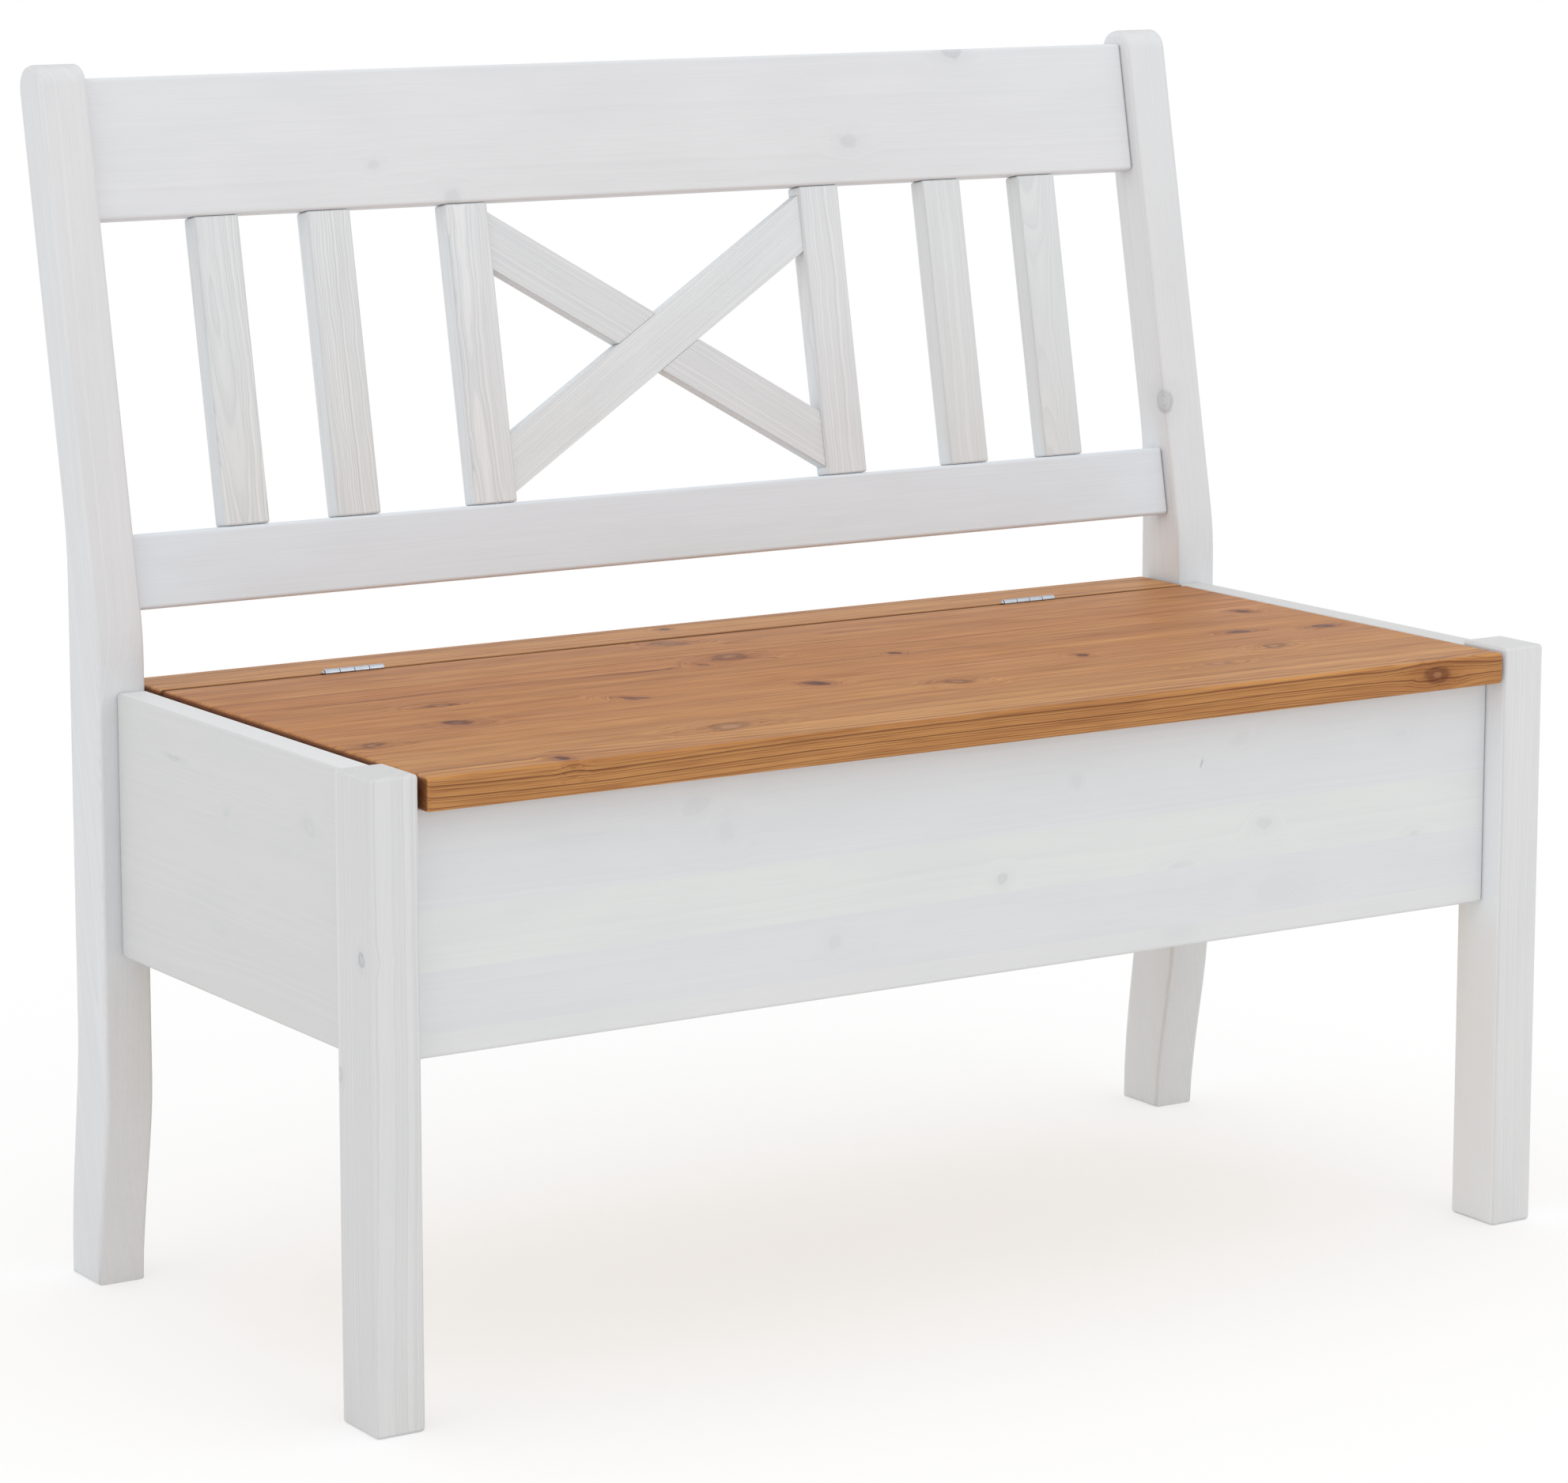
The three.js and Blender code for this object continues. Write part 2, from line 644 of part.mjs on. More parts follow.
function addBackrest( posts ) {

	const lowerRail = addRail( 'lower_back_rail', LOWER_RAIL_START, LOWER_RAIL_HEIGHT, posts );
	const crestRail = addRail( 'crest_rail', CREST_RAIL_START, CREST_RAIL_HEIGHT, posts );
	const slatShares = [ - OUTER_SLAT_SHARE, - INNER_SLAT_SHARE, INNER_SLAT_SHARE, OUTER_SLAT_SHARE ];
	slatShares.forEach( ( share, index ) => addSlat(
		`back_slat_${ index + 1 }`, share * INNER_HALF_WIDTH, lowerRail, crestRail
	) );
	const uprights = SIDES.map(
		( [ side, sign ] ) => addSlat( `back_upright_${ side }`, sign * UPRIGHT_CENTRE, lowerRail, crestRail )
	);
	addBraces( uprights );

}

// Seat: the fixed strip between the posts, and the lid with its two cleats

function addSeat() {

	const stripFront = SEAM + SEAM_GAP / 2;
	const stripDepth = BACK_PANEL_BACK - stripFront;
	const z = SEAT_HEIGHT - LID_THICKNESS / 2;
	const strip = addPiece(
		bench, 'seat_back_strip', easedBox( LID_LENGTH, stripDepth, LID_THICKNESS, LID_EDGE_RADIUS ), oiledPine,
		0, stripFront + stripDepth / 2, z
	);
	const lidBack = SEAM - SEAM_GAP / 2;
	const lidDepth = lidBack + LID_OVERHANG;
	const lid = addPiece(
		bench, 'seat_lid', easedBox( LID_LENGTH, lidDepth, LID_THICKNESS, LID_EDGE_RADIUS ), oiledPine,
		0, lidBack - lidDepth / 2, z
	);

	for ( const [ side, sign ] of SIDES ) {

		const cleat = addPiece(
			bench, `lid_cleat_${ side }`, batten( CLEAT_WIDTH, CLEAT_LENGTH, CLEAT_THICKNESS ), rawPine,
			sign * CLEAT_SHARE * INNER_HALF_WIDTH, CLEAT_FRONT + CLEAT_LENGTH / 2,
			LID_UNDERSIDE - JOINT_GAP - CLEAT_THICKNESS / 2
		);
		addCleatScrews( side, cleat, lid );

	}

	return { strip, lid };

}

// Countersunk screws point along +z in their own frame, heads at zero.

function screwGeometry( length, clearance ) {

	const shank = SCREW_SHANK_RADIUS + clearance;
	const head = SCREW_HEAD_RADIUS + clearance;
	return new THREE.LatheGeometry( [
		new THREE.Vector2( 0, - clearance ),
		new THREE.Vector2( head, - clearance ),
		new THREE.Vector2( head, 0 ),
		new THREE.Vector2( shank, SCREW_HEAD_HEIGHT + clearance ),
		new THREE.Vector2( shank, length - SCREW_TIP_LENGTH ),
		new THREE.Vector2( 0, length + clearance )
	], FASTENER_STEPS ).rotateX( Math.PI / 2 );

}

function addCleatScrews( side, cleat, lid ) {

	const length = CLEAT_THICKNESS + CLEAT_SCREW_BITE;
	const x = cleat.position.x;
	const z = cleat.position.z - CLEAT_THICKNESS / 2;

	for ( const [ end, sign ] of [ [ 'front', - 1 ], [ 'back', 1 ] ] ) {

		const y = cleat.position.y + sign * ( CLEAT_LENGTH / 2 - CLEAT_SCREW_INSET );
		const bore = makeTool( bench, screwGeometry( length, SCREW_CLEARANCE ), x, y, z );
		cut( cleat, bore );
		cut( lid, bore );
		addPiece( bench, `cleat_screw_${ side }_${ end }`, screwGeometry( length, 0 ), zincSteel, x, y, z );

	}

}

// Butt hinges in the seam: the leaves lie on the facing edges of lid and
// strip, and the knuckles stand in a shallow notch at the surface

function rodAlongX( radius, length, x ) {

	const rod = new THREE.CylinderGeometry( radius, radius, length, ROUND_STEPS );
	return rod.rotateZ( Math.PI / 2 ).translate( x, 0, 0 );

}

// One leaf: a plate hanging below its own knuckles. The fixed leaf has the
// odd knuckles and lies behind the seam, the moving leaf has the even ones.
function leafGeometry( isFixed ) {

	const sign = isFixed ? 1 : - 1;
	const plateTop = - KNUCKLE_RADIUS - KNUCKLE_PLAY;
	const plateY = sign * ( LEAF_PLAY + LEAF_THICKNESS ) / 2;
	const plateHeight = LEAF_HEIGHT + plateTop;
	const pitch = HINGE_LENGTH / KNUCKLE_COUNT;
	const length = pitch - KNUCKLE_PLAY;
	const plate = new THREE.BoxGeometry( HINGE_LENGTH - KNUCKLE_PLAY, LEAF_THICKNESS, plateHeight );
	plate.translate( 0, plateY, plateTop - plateHeight / 2 );
	let solid = toSolid( plate );

	for ( let index = isFixed ? 0 : 1; index < KNUCKLE_COUNT; index += 2 ) {

		const x = ( index - ( KNUCKLE_COUNT - 1 ) / 2 ) * pitch;
		const tab = new THREE.BoxGeometry( length, LEAF_THICKNESS, LEAF_HEIGHT / 2 );
		tab.translate( x, plateY, - LEAF_HEIGHT / 4 );
		solid = solid.add( toSolid( rodAlongX( KNUCKLE_RADIUS, length, x ) ) ).add( toSolid( tab ) );

	}

	const bore = rodAlongX( PIN_RADIUS + PIN_CLEARANCE, HINGE_LENGTH + 2 * CUT_OVERRUN, 0 );
	return toGeometry( solid.subtract( toSolid( bore ) ) );

}

function pinGeometry() {

	const half = HINGE_LENGTH / 2 + KNUCKLE_PLAY;
	return new THREE.LatheGeometry( [
		new THREE.Vector2( 0, - half - PIN_HEAD_LENGTH ),
		new THREE.Vector2( PIN_HEAD_RADIUS, - half - PIN_HEAD_LENGTH ),
		new THREE.Vector2( PIN_HEAD_RADIUS, - half ),
		new THREE.Vector2( PIN_RADIUS, - half ),
		new THREE.Vector2( PIN_RADIUS, half ),
		new THREE.Vector2( 0, half )
	], ROUND_STEPS ).rotateZ( - Math.PI / 2 );

}

// The notch for the knuckles and the rebate for one leaf, cut into a board.
function hingeNotches( x, sign ) {

	const notchLength = HINGE_LENGTH + 2 * ( PIN_HEAD_LENGTH + 2 * KNUCKLE_PLAY );
	const notchHalf = KNUCKLE_RADIUS + KNUCKLE_PLAY;
	const notchHeight = notchHalf + CUT_OVERRUN;
	const rebateDepth = LEAF_PLAY / 2 + LEAF_THICKNESS + JOINT_GAP;
	const rebateHeight = LEAF_HEIGHT + JOINT_GAP;
	return [
		boxTool(
			bench, notchLength, 2 * notchHalf, notchHeight,
			x, SEAM, HINGE_HEIGHT - notchHalf + notchHeight / 2
		),
		boxTool(
			bench, HINGE_LENGTH + 2 * JOINT_GAP, rebateDepth, rebateHeight,
			x, SEAM + sign * rebateDepth / 2, HINGE_HEIGHT - rebateHeight / 2
		)
	];

}

function addHingeScrews( side, x, leaf, board, isFixed ) {

	const sign = isFixed ? 1 : - 1;
	const y = SEAM + sign * LEAF_PLAY / 2;
	const z = HINGE_HEIGHT - HINGE_SCREW_SHARE * LEAF_HEIGHT;
	const leafName = isFixed ? 'fixed' : 'moving';

	for ( const [ end, step ] of [ [ 'a', - 1 ], [ 'b', 1 ] ] ) {

		const place = [ x + step * HINGE_SCREW_SPACING / 2, y, z ];
		const turn = - sign * Math.PI / 2;
		const screw = screwGeometry( HINGE_SCREW_LENGTH, 0 ).rotateX( turn );
		const bore = screwGeometry( HINGE_SCREW_LENGTH, SCREW_CLEARANCE ).rotateX( turn );
		cut( leaf, makeTool( bench, bore, ...place ) );
		cut( board, makeTool( bench, bore, ...place ) );
		addPiece( bench, `hinge_screw_${ side }_${ leafName }_${ end }`, screw, zincSteel, ...place );

	}

}

function addHinges( strip, lid ) {

	for ( const [ side, sign ] of SIDES ) {

		const x = sign * HINGE_SHARE * INNER_HALF_WIDTH;
		hingeNotches( x, 1 ).forEach( ( notch ) => cut( strip, notch ) );
		hingeNotches( x, - 1 ).forEach( ( notch ) => cut( lid, notch ) );
		const fixedLeaf = addPiece(
			bench, `hinge_${ side }_fixed_leaf`, leafGeometry( true ), zincSteel, x, SEAM, HINGE_HEIGHT
		);
		const movingLeaf = addPiece(
			bench, `hinge_${ side }_moving_leaf`, leafGeometry( false ), zincSteel, x, SEAM, HINGE_HEIGHT
		);
		addPiece( bench, `hinge_${ side }_pin`, pinGeometry(), zincSteel, x, SEAM, HINGE_HEIGHT );
		addHingeScrews( side, x, fixedLeaf, strip, true );
		addHingeScrews( side, x, movingLeaf, lid, false );

	}

}

const legs = addFrontLegs();
const posts = addBackPosts();
addSidePanels( legs, posts );
addTonguedPanel( 'front_panel', FRONT_PANEL_RECESS, legs );
addTonguedPanel( 'back_panel', BACK_PANEL_FRONT, posts );
addBoxFloor();
addCornerBattens();
addBackrest( posts );
const seat = addSeat();
addHinges( seat.strip, seat.lid );

// The origin goes to the floor, under the middle of the whole bench.
const middle = new THREE.Box3().setFromObject( bench, true ).getCenter( new THREE.Vector3() );
bench.position.set( - middle.x, - middle.y, 0 );

export default bench;
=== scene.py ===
import json
import math
import random

import bmesh
import bpy
from bpy.props import FloatProperty, FloatVectorProperty, PointerProperty
from mathutils import Matrix, Vector

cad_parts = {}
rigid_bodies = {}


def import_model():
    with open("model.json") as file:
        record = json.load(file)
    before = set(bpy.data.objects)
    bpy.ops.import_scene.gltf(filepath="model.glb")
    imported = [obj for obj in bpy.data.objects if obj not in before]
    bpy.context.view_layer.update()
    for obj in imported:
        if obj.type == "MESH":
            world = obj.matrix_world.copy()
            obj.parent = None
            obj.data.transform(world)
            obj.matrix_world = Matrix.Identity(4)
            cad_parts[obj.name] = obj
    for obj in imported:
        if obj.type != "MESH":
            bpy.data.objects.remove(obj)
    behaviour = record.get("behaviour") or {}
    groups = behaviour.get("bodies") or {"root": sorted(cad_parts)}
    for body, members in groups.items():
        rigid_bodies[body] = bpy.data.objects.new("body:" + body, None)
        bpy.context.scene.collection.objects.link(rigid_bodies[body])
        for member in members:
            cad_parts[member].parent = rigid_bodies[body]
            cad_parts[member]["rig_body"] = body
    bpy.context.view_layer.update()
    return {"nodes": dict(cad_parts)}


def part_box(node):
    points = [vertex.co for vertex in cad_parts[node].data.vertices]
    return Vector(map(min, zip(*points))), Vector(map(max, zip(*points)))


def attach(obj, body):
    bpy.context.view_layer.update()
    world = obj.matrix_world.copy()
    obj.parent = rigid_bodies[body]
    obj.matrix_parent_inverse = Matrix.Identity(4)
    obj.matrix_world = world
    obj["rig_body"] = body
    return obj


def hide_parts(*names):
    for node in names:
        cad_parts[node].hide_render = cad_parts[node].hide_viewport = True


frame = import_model()

# The visual model of a settle bench: the CAD boards keep their shape and get
# their timber, glaze, stain and zinc here, and the stage is lit round them.

bl_info = {
    "name": "Settle Bench",
    "version": (1, 0, 0),
    "blender": (4, 5, 0),
    "location": "3D View > Sidebar > Bench",
    "description": "Dresses a pine settle bench and sets up its studio",
    "category": "Object",
}

NODES = frame["nodes"]
MM = 0.001
LEAN = math.radians(11)     # how far the backrest leans back
ACROSS = Vector((1, 0, 0))
BACKWARD = Vector((0, 1, 0))
UP = Vector((0, 0, 1))
UP_THE_BACK = Vector((0, math.sin(LEAN), math.cos(LEAN)))
SIDES = ("left", "right")
SMOOTH_ANGLE = math.radians(50)     # edges sharper than this stay sharp
WELD_DISTANCE = 0.001 * MM

MATH = "ShaderNodeMath"
VECTOR = "ShaderNodeVectorMath"
MIX = "ShaderNodeMix"
NOISE = "ShaderNodeTexNoise"
RAMP = "ShaderNodeValToRGB"
GROUP = "ShaderNodeGroup"
RANGE = "ShaderNodeMapRange"
SMOOTH = {"interpolation_type": "SMOOTHSTEP"}    # makes a range ease in and out
HALF = (0.5, 0.5, 0.5)      # the middle of what a noise gives


def linear(code, alpha=1.0):
    """An sRGB colour such as "#C08A5E" as linear red, green, blue and alpha."""
    parts = [int(code[i:i + 2], 16) / 255 for i in (1, 3, 5)]
    curve = [p / 12.92 if p <= 0.04045 else ((p + 0.055) / 1.055) ** 2.4 for p in parts]
    return (*curve, alpha)


def add(tree, kind, links=(), operation=None, stops=(), **settings):
    """Adds a node: settings are its properties, links its inputs by place or name."""
    node = tree.nodes.new(kind)
    if operation:
        node.operation = operation
    for name, value in settings.items():
        setattr(node, name, value)
    for index, (place, colour) in enumerate(stops):
        elements = node.color_ramp.elements
        element = elements[index] if index < 2 else elements.new(place)
        element.position = place
        element.color = colour if hasattr(colour, "__len__") else (colour, colour, colour, 1)
    sockets = [s for s in node.inputs if s.enabled]
    named = {s.name: s for s in sockets}
    for key, value in links.items() if isinstance(links, dict) else enumerate(links):
        socket = named[key] if isinstance(key, str) else sockets[key]
        if isinstance(value, bpy.types.Node):
            value = next(s for s in value.outputs if s.enabled)
        if isinstance(value, bpy.types.NodeSocket):
            tree.links.new(value, socket)
        else:
            socket.default_value = value
    return node


VECTOR_SOCKETS = ("Point", "Pith", "Centre", "Size", "Turn", "Sway", "Ripple")


def new_group(name, inputs, outputs):
    """An empty shader group with these sockets, and its input and output nodes."""
    tree = bpy.data.node_groups.new(name, "ShaderNodeTree")
    for in_out, sockets in (("INPUT", inputs), ("OUTPUT", outputs)):
        for socket in sockets:
            kind = "NodeSocketVector" if socket in VECTOR_SOCKETS else "NodeSocketFloat"
            tree.interface.new_socket(socket, in_out=in_out, socket_type=kind)
    return tree, tree.nodes.new("NodeGroupInput").outputs, tree.nodes.new("NodeGroupOutput").inputs


# Timber: every board is cut out of solid, ring by ring, in its own axes,
# along the grain, across its face and through its thickness, in metres

SWAY_LENGTH = 420 * MM      # how far the trunk runs between two bends
RIPPLE_LENGTH = 38 * MM     # the same for the small waves in a ring
FIBRE_WIDTH = 1.1 * MM      # real fibres are 0.04 mm wide: drawn coarser, so that they show
FIBRE_RUN = 50              # how many times longer than wide a fibre is drawn
STREAK_WIDTH = 9 * MM       # bands of darker and paler fibres, with narrower ones inside
STREAK_RUN = 30
CLOUD_WIDTH = 34 * MM       # softer patches, which take more stain
CLOUD_RUN = 3
WAVE_RUN = 2                # how many times longer than wide a bend of the trunk is
PACE = 0.4                  # how fast wide and narrow years take turns
UNEVEN_YEARS = 2.2          # how many years the rings run ahead of an even pace at most
FAINTEST_YEAR = 0.25        # how strong the faintest year is, where the strongest is 1


def growth_group():
    """Growth rings round the pith: how far through its year the wood is, how
    strong that year is, and the fibres, streaks and clouds along the grain."""
    tree, given, result = new_group(
        "pine_growth",
        ("Point", "Pith", "Ring Width", "Sway", "Ripple", "Seed"),
        ("Season", "Strength", "Fibre", "Streak", "Cloud"),
    )
    seeded = add(tree, VECTOR, [given["Point"], given["Seed"]], "ADD")
    place = add(tree, VECTOR, [given["Point"], given["Pith"]], "SUBTRACT")
    for length, amount in ((SWAY_LENGTH, "Sway"), (RIPPLE_LENGTH, "Ripple")):
        squeezed = add(tree, VECTOR, [seeded, (1, WAVE_RUN, WAVE_RUN)], "MULTIPLY")
        noise = add(tree, NOISE, {"Vector": squeezed, "Scale": 1 / length, "Detail": 1.0})
        centred = add(tree, VECTOR, [noise.outputs["Color"], HALF], "SUBTRACT")
        place = add(tree, VECTOR, [centred, given[amount], place], "MULTIPLY_ADD")
    flat = add(tree, VECTOR, [place, (0, 1, 1)], "MULTIPLY")
    radius = add(tree, VECTOR, [flat], "LENGTH")
    even = add(tree, MATH, [radius, given["Ring Width"]], "DIVIDE")
    period = add(tree, MATH, [even, PACE, given["Seed"]], "MULTIPLY_ADD")
    pace = add(tree, NOISE, {"W": period, "Scale": 1.0, "Detail": 0.0}, noise_dimensions="1D")
    uneven = add(tree, MATH, [pace.outputs[0], UNEVEN_YEARS, even], "MULTIPLY_ADD")
    year = add(tree, MATH, [uneven], "FLOOR")
    season = add(tree, MATH, [uneven], "FRACT")
    year_seed = add(tree, MATH, [year, given["Seed"]], "ADD")
    draw = add(tree, "ShaderNodeTexWhiteNoise", [year_seed], noise_dimensions="1D")
    strength = add(tree, MATH, [draw, 1 - FAINTEST_YEAR, FAINTEST_YEAR], "MULTIPLY_ADD")
    tree.links.new(season.outputs[0], result["Season"])
    tree.links.new(strength.outputs[0], result["Strength"])
    for socket, width, run, detail in (
        ("Fibre", FIBRE_WIDTH, FIBRE_RUN, 2.0),
        ("Streak", STREAK_WIDTH, STREAK_RUN, 3.0),
        ("Cloud", CLOUD_WIDTH, CLOUD_RUN, 2.0),
    ):
        drawn = add(tree, VECTOR, [seeded, (1 / run, 1, 1)], "MULTIPLY")
        noise = add(tree, NOISE, {"Vector": drawn, "Scale": 1 / width, "Detail": detail})
        tree.links.new(noise.outputs[0], result[socket])
    return tree


# How a knot turns the rings: distances are from its middle, in half knots

KNOT_REACH = 4.5                # how far out it turns them
KNOT_FULL = 0.6                 # and within which it turns them most
KNOT_PULL = 0.85                # how far towards its middle the wood is drawn there
KNOT_ASIDE = (0.0, 1.0, 0.5)    # shares of that along the grain, across it and through


def knot_group():
    """One branch through a board: it draws the rings round itself, and tells how near it is.

    The point runs from knot to knot, so the pulls add up. Its last part holds the
    stave that it lies in, so a knot ends at a glue line, as sawn wood does.
    """
    tree, given, result = new_group(
        "pine_knot",
        ("Point", "Centre", "Size", "Turn", "Depth", "Nearest", "Nearest Depth"),
        ("Point", "Nearest", "Nearest Depth"),
    )
    near = add(tree, "ShaderNodeMapping", {
        "Vector": given["Point"], "Location": given["Centre"], "Rotation": given["Turn"],
        "Scale": given["Size"],
    }, vector_type="TEXTURE")
    far = add(tree, VECTOR, [near], "LENGTH")
    reach = add(tree, RANGE, [far, KNOT_REACH, KNOT_FULL, 0.0, KNOT_PULL], **SMOOTH)
    aside = add(tree, VECTOR, [KNOT_ASIDE, reach], "MULTIPLY")
    offset = add(tree, VECTOR, [given["Centre"], given["Point"]], "SUBTRACT")
    pulled = add(tree, VECTOR, [offset, aside, given["Point"]], "MULTIPLY_ADD")
    closer = add(tree, MATH, [far, given["Nearest"]], "LESS_THAN")
    nearest = add(tree, MATH, [far, given["Nearest"]], "MINIMUM")
    depth = add(tree, MIX, [closer, given["Nearest Depth"], given["Depth"]])
    for value, socket in ((pulled, "Point"), (nearest, "Nearest"), (depth, "Nearest Depth")):
        tree.links.new(next(s for s in value.outputs if s.enabled), result[socket])
    return tree


GROWTH = growth_group()
KNOT = knot_group()
FLAT_SAWN = 0.2             # share of the small waves that is left through a board
STAVE_STEP = 10.0           # metres between two staves, too far for a knot to reach the next
STAVE_SHIFT = (70, 0, 0)    # metres along, so that each stave has a grain of its own
BOARD_SPAN = 1000 * MM      # wider than any board
MOST_STAVES = 10
GLUE_LINE = 0.5 * MM        # half the width that a glue line shows
PITH_SPAN = 400             # the furthest that a pith lies from its board's middle, in millimetres
NO_KNOT = 99.0              # farther than any knot shows

# A knot's own marks: distances are from its middle, in half knots

KNOT_LUMP = 15 * MM         # how coarsely its outline wanders
KNOT_WOBBLE = (8 * MM, 6.5 * MM, 0)     # and how far, along and across
KNOT_THROUGH = 1000         # half depth of one that goes right through, in millimetres
KNOT_CORE = (0.65, 1.15)    # where the branch's own wood begins to end, and ends
KNOT_EYE = (0.55, 0.2)      # where its paler pith begins, and is full
KNOT_HALO = (3.4, 0.8)      # where the darker wood round it begins, and is full
KNOT_CIRCLES = 17.0         # how closely its own rings lie
RIM_SHARPNESS = 30.0        # of the bark line round it
RIM_BREAKS = (0.42, 0.58)   # levels of the lumps where that line is faint, and full
FAINTEST_RIM = 0.25
ROUGH_GRAIN = 3.0           # how much larger the small waves are beside it

# How squarely a surface faces an axis or a direction, from 0 to 1

ARRIS_LEVELS = (0.8, 0.98)  # on a rounded edge, and on a flat face
FACE_LEVELS = (0.8, 0.95)   # where a face that way begins, and is full


class Timber:
    """One board's wood in a material: its axes, staves, knots and growth rings.

    A stave is where it ends across the board, its tone, and how far its pith lies
    across and through from its own middle. A knot is its place along and across,
    half its length and width, its tilt and its depth of colour, and then, for one
    that only goes part of the way through, its place and half its size through.
    """

    def __init__(
        self, tree, node, along, across, seed, pith=(0, 0), ring_width=2.4, sway=9, ripple=0.9,
        staves=(), knots=(),
    ):
        lo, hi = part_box(node)
        self.tree = tree
        self.along = along.normalized()
        self.through = self.along.cross(across).normalized()
        self.across = self.through.cross(self.along)
        axes = Matrix((self.along, self.across, self.through)).transposed()
        self.here = add(tree, "ShaderNodeTexCoord")
        self.point = add(tree, "ShaderNodeMapping", {
            "Vector": self.here.outputs["Object"], "Location": (lo + hi) / 2,
            "Rotation": axes.to_euler(),
        }, vector_type="TEXTURE")
        self.parts = add(tree, "ShaderNodeSeparateXYZ", [self.point]).outputs
        self.glue = None
        self.tone = None
        self.core = None
        growing = self.point
        middle = (0, pith[0] * MM, pith[1] * MM)
        waves = (ripple * MM, ripple * MM, FLAT_SAWN * ripple * MM)
        if staves:
            growing, middle = self.glue_up(staves)
        if knots:
            growing = self.add_knots(knots, staves, growing)
            rough = add(tree, MATH, [self.halo, ROUGH_GRAIN, 1.0], "MULTIPLY_ADD")
            waves = add(tree, VECTOR, [waves, rough], "MULTIPLY")
        self.growth = add(tree, GROUP, {
            "Point": growing, "Pith": middle, "Ring Width": ring_width * MM,
            "Sway": (sway * MM,) * 3, "Ripple": waves, "Seed": seed,
        }, node_tree=GROWTH).outputs

    def glue_up(self, staves):
        """Staves side by side: each has a tone and a pith of its own, with a glue line between.

        Ramps over the board's width hold each stave's number, tone and pith. A pith is
        stored as a colour, so its place is brought between 0 and 1 and out again.
        """
        tree = self.tree
        share = add(tree, MATH, [self.parts["Y"], 1 / BOARD_SPAN, 0.5], "MULTIPLY_ADD")
        steps = []
        tones = []
        piths = []
        lines = [(0, 0.0), (1, 0.0)]
        half = GLUE_LINE / BOARD_SPAN
        start = 2 * staves[0][0] - staves[1][0]
        for index, (end, tone, pith) in enumerate(staves):
            place = start * MM / BOARD_SPAN + 0.5 if index else 0
            middle = (start + end) / 2
            steps.append((place, index / MOST_STAVES))
            tones.append((place, linear(tone)))
            as_colour = [part / PITH_SPAN / 2 + 0.5 for part in (0, middle + pith[0], pith[1])]
            piths.append((place, (*as_colour, 1)))
            if index:
                lines += [(place - half, 0.0), (place, 1.0), (place + half, 0.0)]
            start = end
        ramps = [add(tree, RAMP, [share], stops=stops) for stops in (steps, tones, piths)]
        for ramp in ramps:
            ramp.color_ramp.interpolation = "CONSTANT"
        self.which, self.tone, coded = ramps
        self.glue = add(tree, RAMP, [share], stops=lines)
        span = 2 * PITH_SPAN * MM
        centred = add(tree, VECTOR, [coded, HALF], "SUBTRACT")
        middle = add(tree, VECTOR, [centred, (span, span, span)], "MULTIPLY")
        growing = add(tree, VECTOR, [self.which, STAVE_SHIFT, self.point], "MULTIPLY_ADD")
        return growing, middle

    def add_knots(self, knots, staves, growing):
        """The knots one after another, then the marks that the nearest one leaves."""
        tree = self.tree
        wobble = add(tree, NOISE, {"Vector": self.point, "Scale": 1 / KNOT_LUMP, "Detail": 3.0})
        centred = add(tree, VECTOR, [wobble.outputs["Color"], HALF], "SUBTRACT")
        level = self.point
        if staves:
            apart = MOST_STAVES * STAVE_STEP
            stave = add(tree, MATH, [self.which, apart, self.parts["Z"]], "MULTIPLY_ADD")
            level = add(tree, "ShaderNodeCombineXYZ", [self.parts["X"], self.parts["Y"], stave])
        start = add(tree, VECTOR, [centred, KNOT_WOBBLE, level], "MULTIPLY_ADD")
        last = {"Point": start, "Nearest": NO_KNOT, "Nearest Depth": 0.0}
        for u, v, half_length, half_width, tilt, depth, *span in knots:
            own = sum(v > stave[0] for stave in staves[:-1]) * STAVE_STEP
            w, half_through = span or (0, KNOT_THROUGH)
            outputs = add(tree, GROUP, {
                **last, "Centre": (u * MM, v * MM, w * MM + own),
                "Size": (half_length * MM, half_width * MM, half_through * MM),
                "Turn": (0, 0, math.radians(tilt)), "Depth": depth,
            }, node_tree=KNOT).outputs
            last = {name: outputs[name] for name in last}
        far = last["Nearest"]
        depth = last["Nearest Depth"]
        self.depth = depth
        inside = add(tree, RANGE, [far, *KNOT_CORE, 1.0, 0.0], **SMOOTH)
        self.core = add(tree, MATH, [inside, depth], "MULTIPLY")
        circles = add(tree, MATH, [far, KNOT_CIRCLES], "MULTIPLY")
        wave = add(tree, MATH, [circles], "SINE")
        self.circles = add(tree, MATH, [wave, self.core], "MULTIPLY", use_clamp=True)
        self.eye = add(tree, RANGE, [far, *KNOT_EYE, 0.0, 1.0])
        offset = add(tree, MATH, [far, 1.0], "SUBTRACT")
        squared = add(tree, MATH, [offset, offset], "MULTIPLY")
        steep = add(tree, MATH, [squared, -RIM_SHARPNESS], "MULTIPLY")
        edge = add(tree, MATH, [steep], "EXPONENT")
        lump = add(tree, "ShaderNodeSeparateXYZ", [wobble.outputs["Color"]]).outputs["Z"]
        broken = add(tree, RANGE, [lump, *RIM_BREAKS, FAINTEST_RIM, 1.0])
        arc = add(tree, MATH, [edge, broken], "MULTIPLY")
        strong = add(tree, MATH, [depth, depth], "MULTIPLY")
        self.rim = add(tree, MATH, [arc, strong], "MULTIPLY")
        glow = add(tree, RANGE, [far, *KNOT_HALO, 0.0, 1.0], **SMOOTH)
        self.halo = add(tree, MATH, [glow, depth], "MULTIPLY")
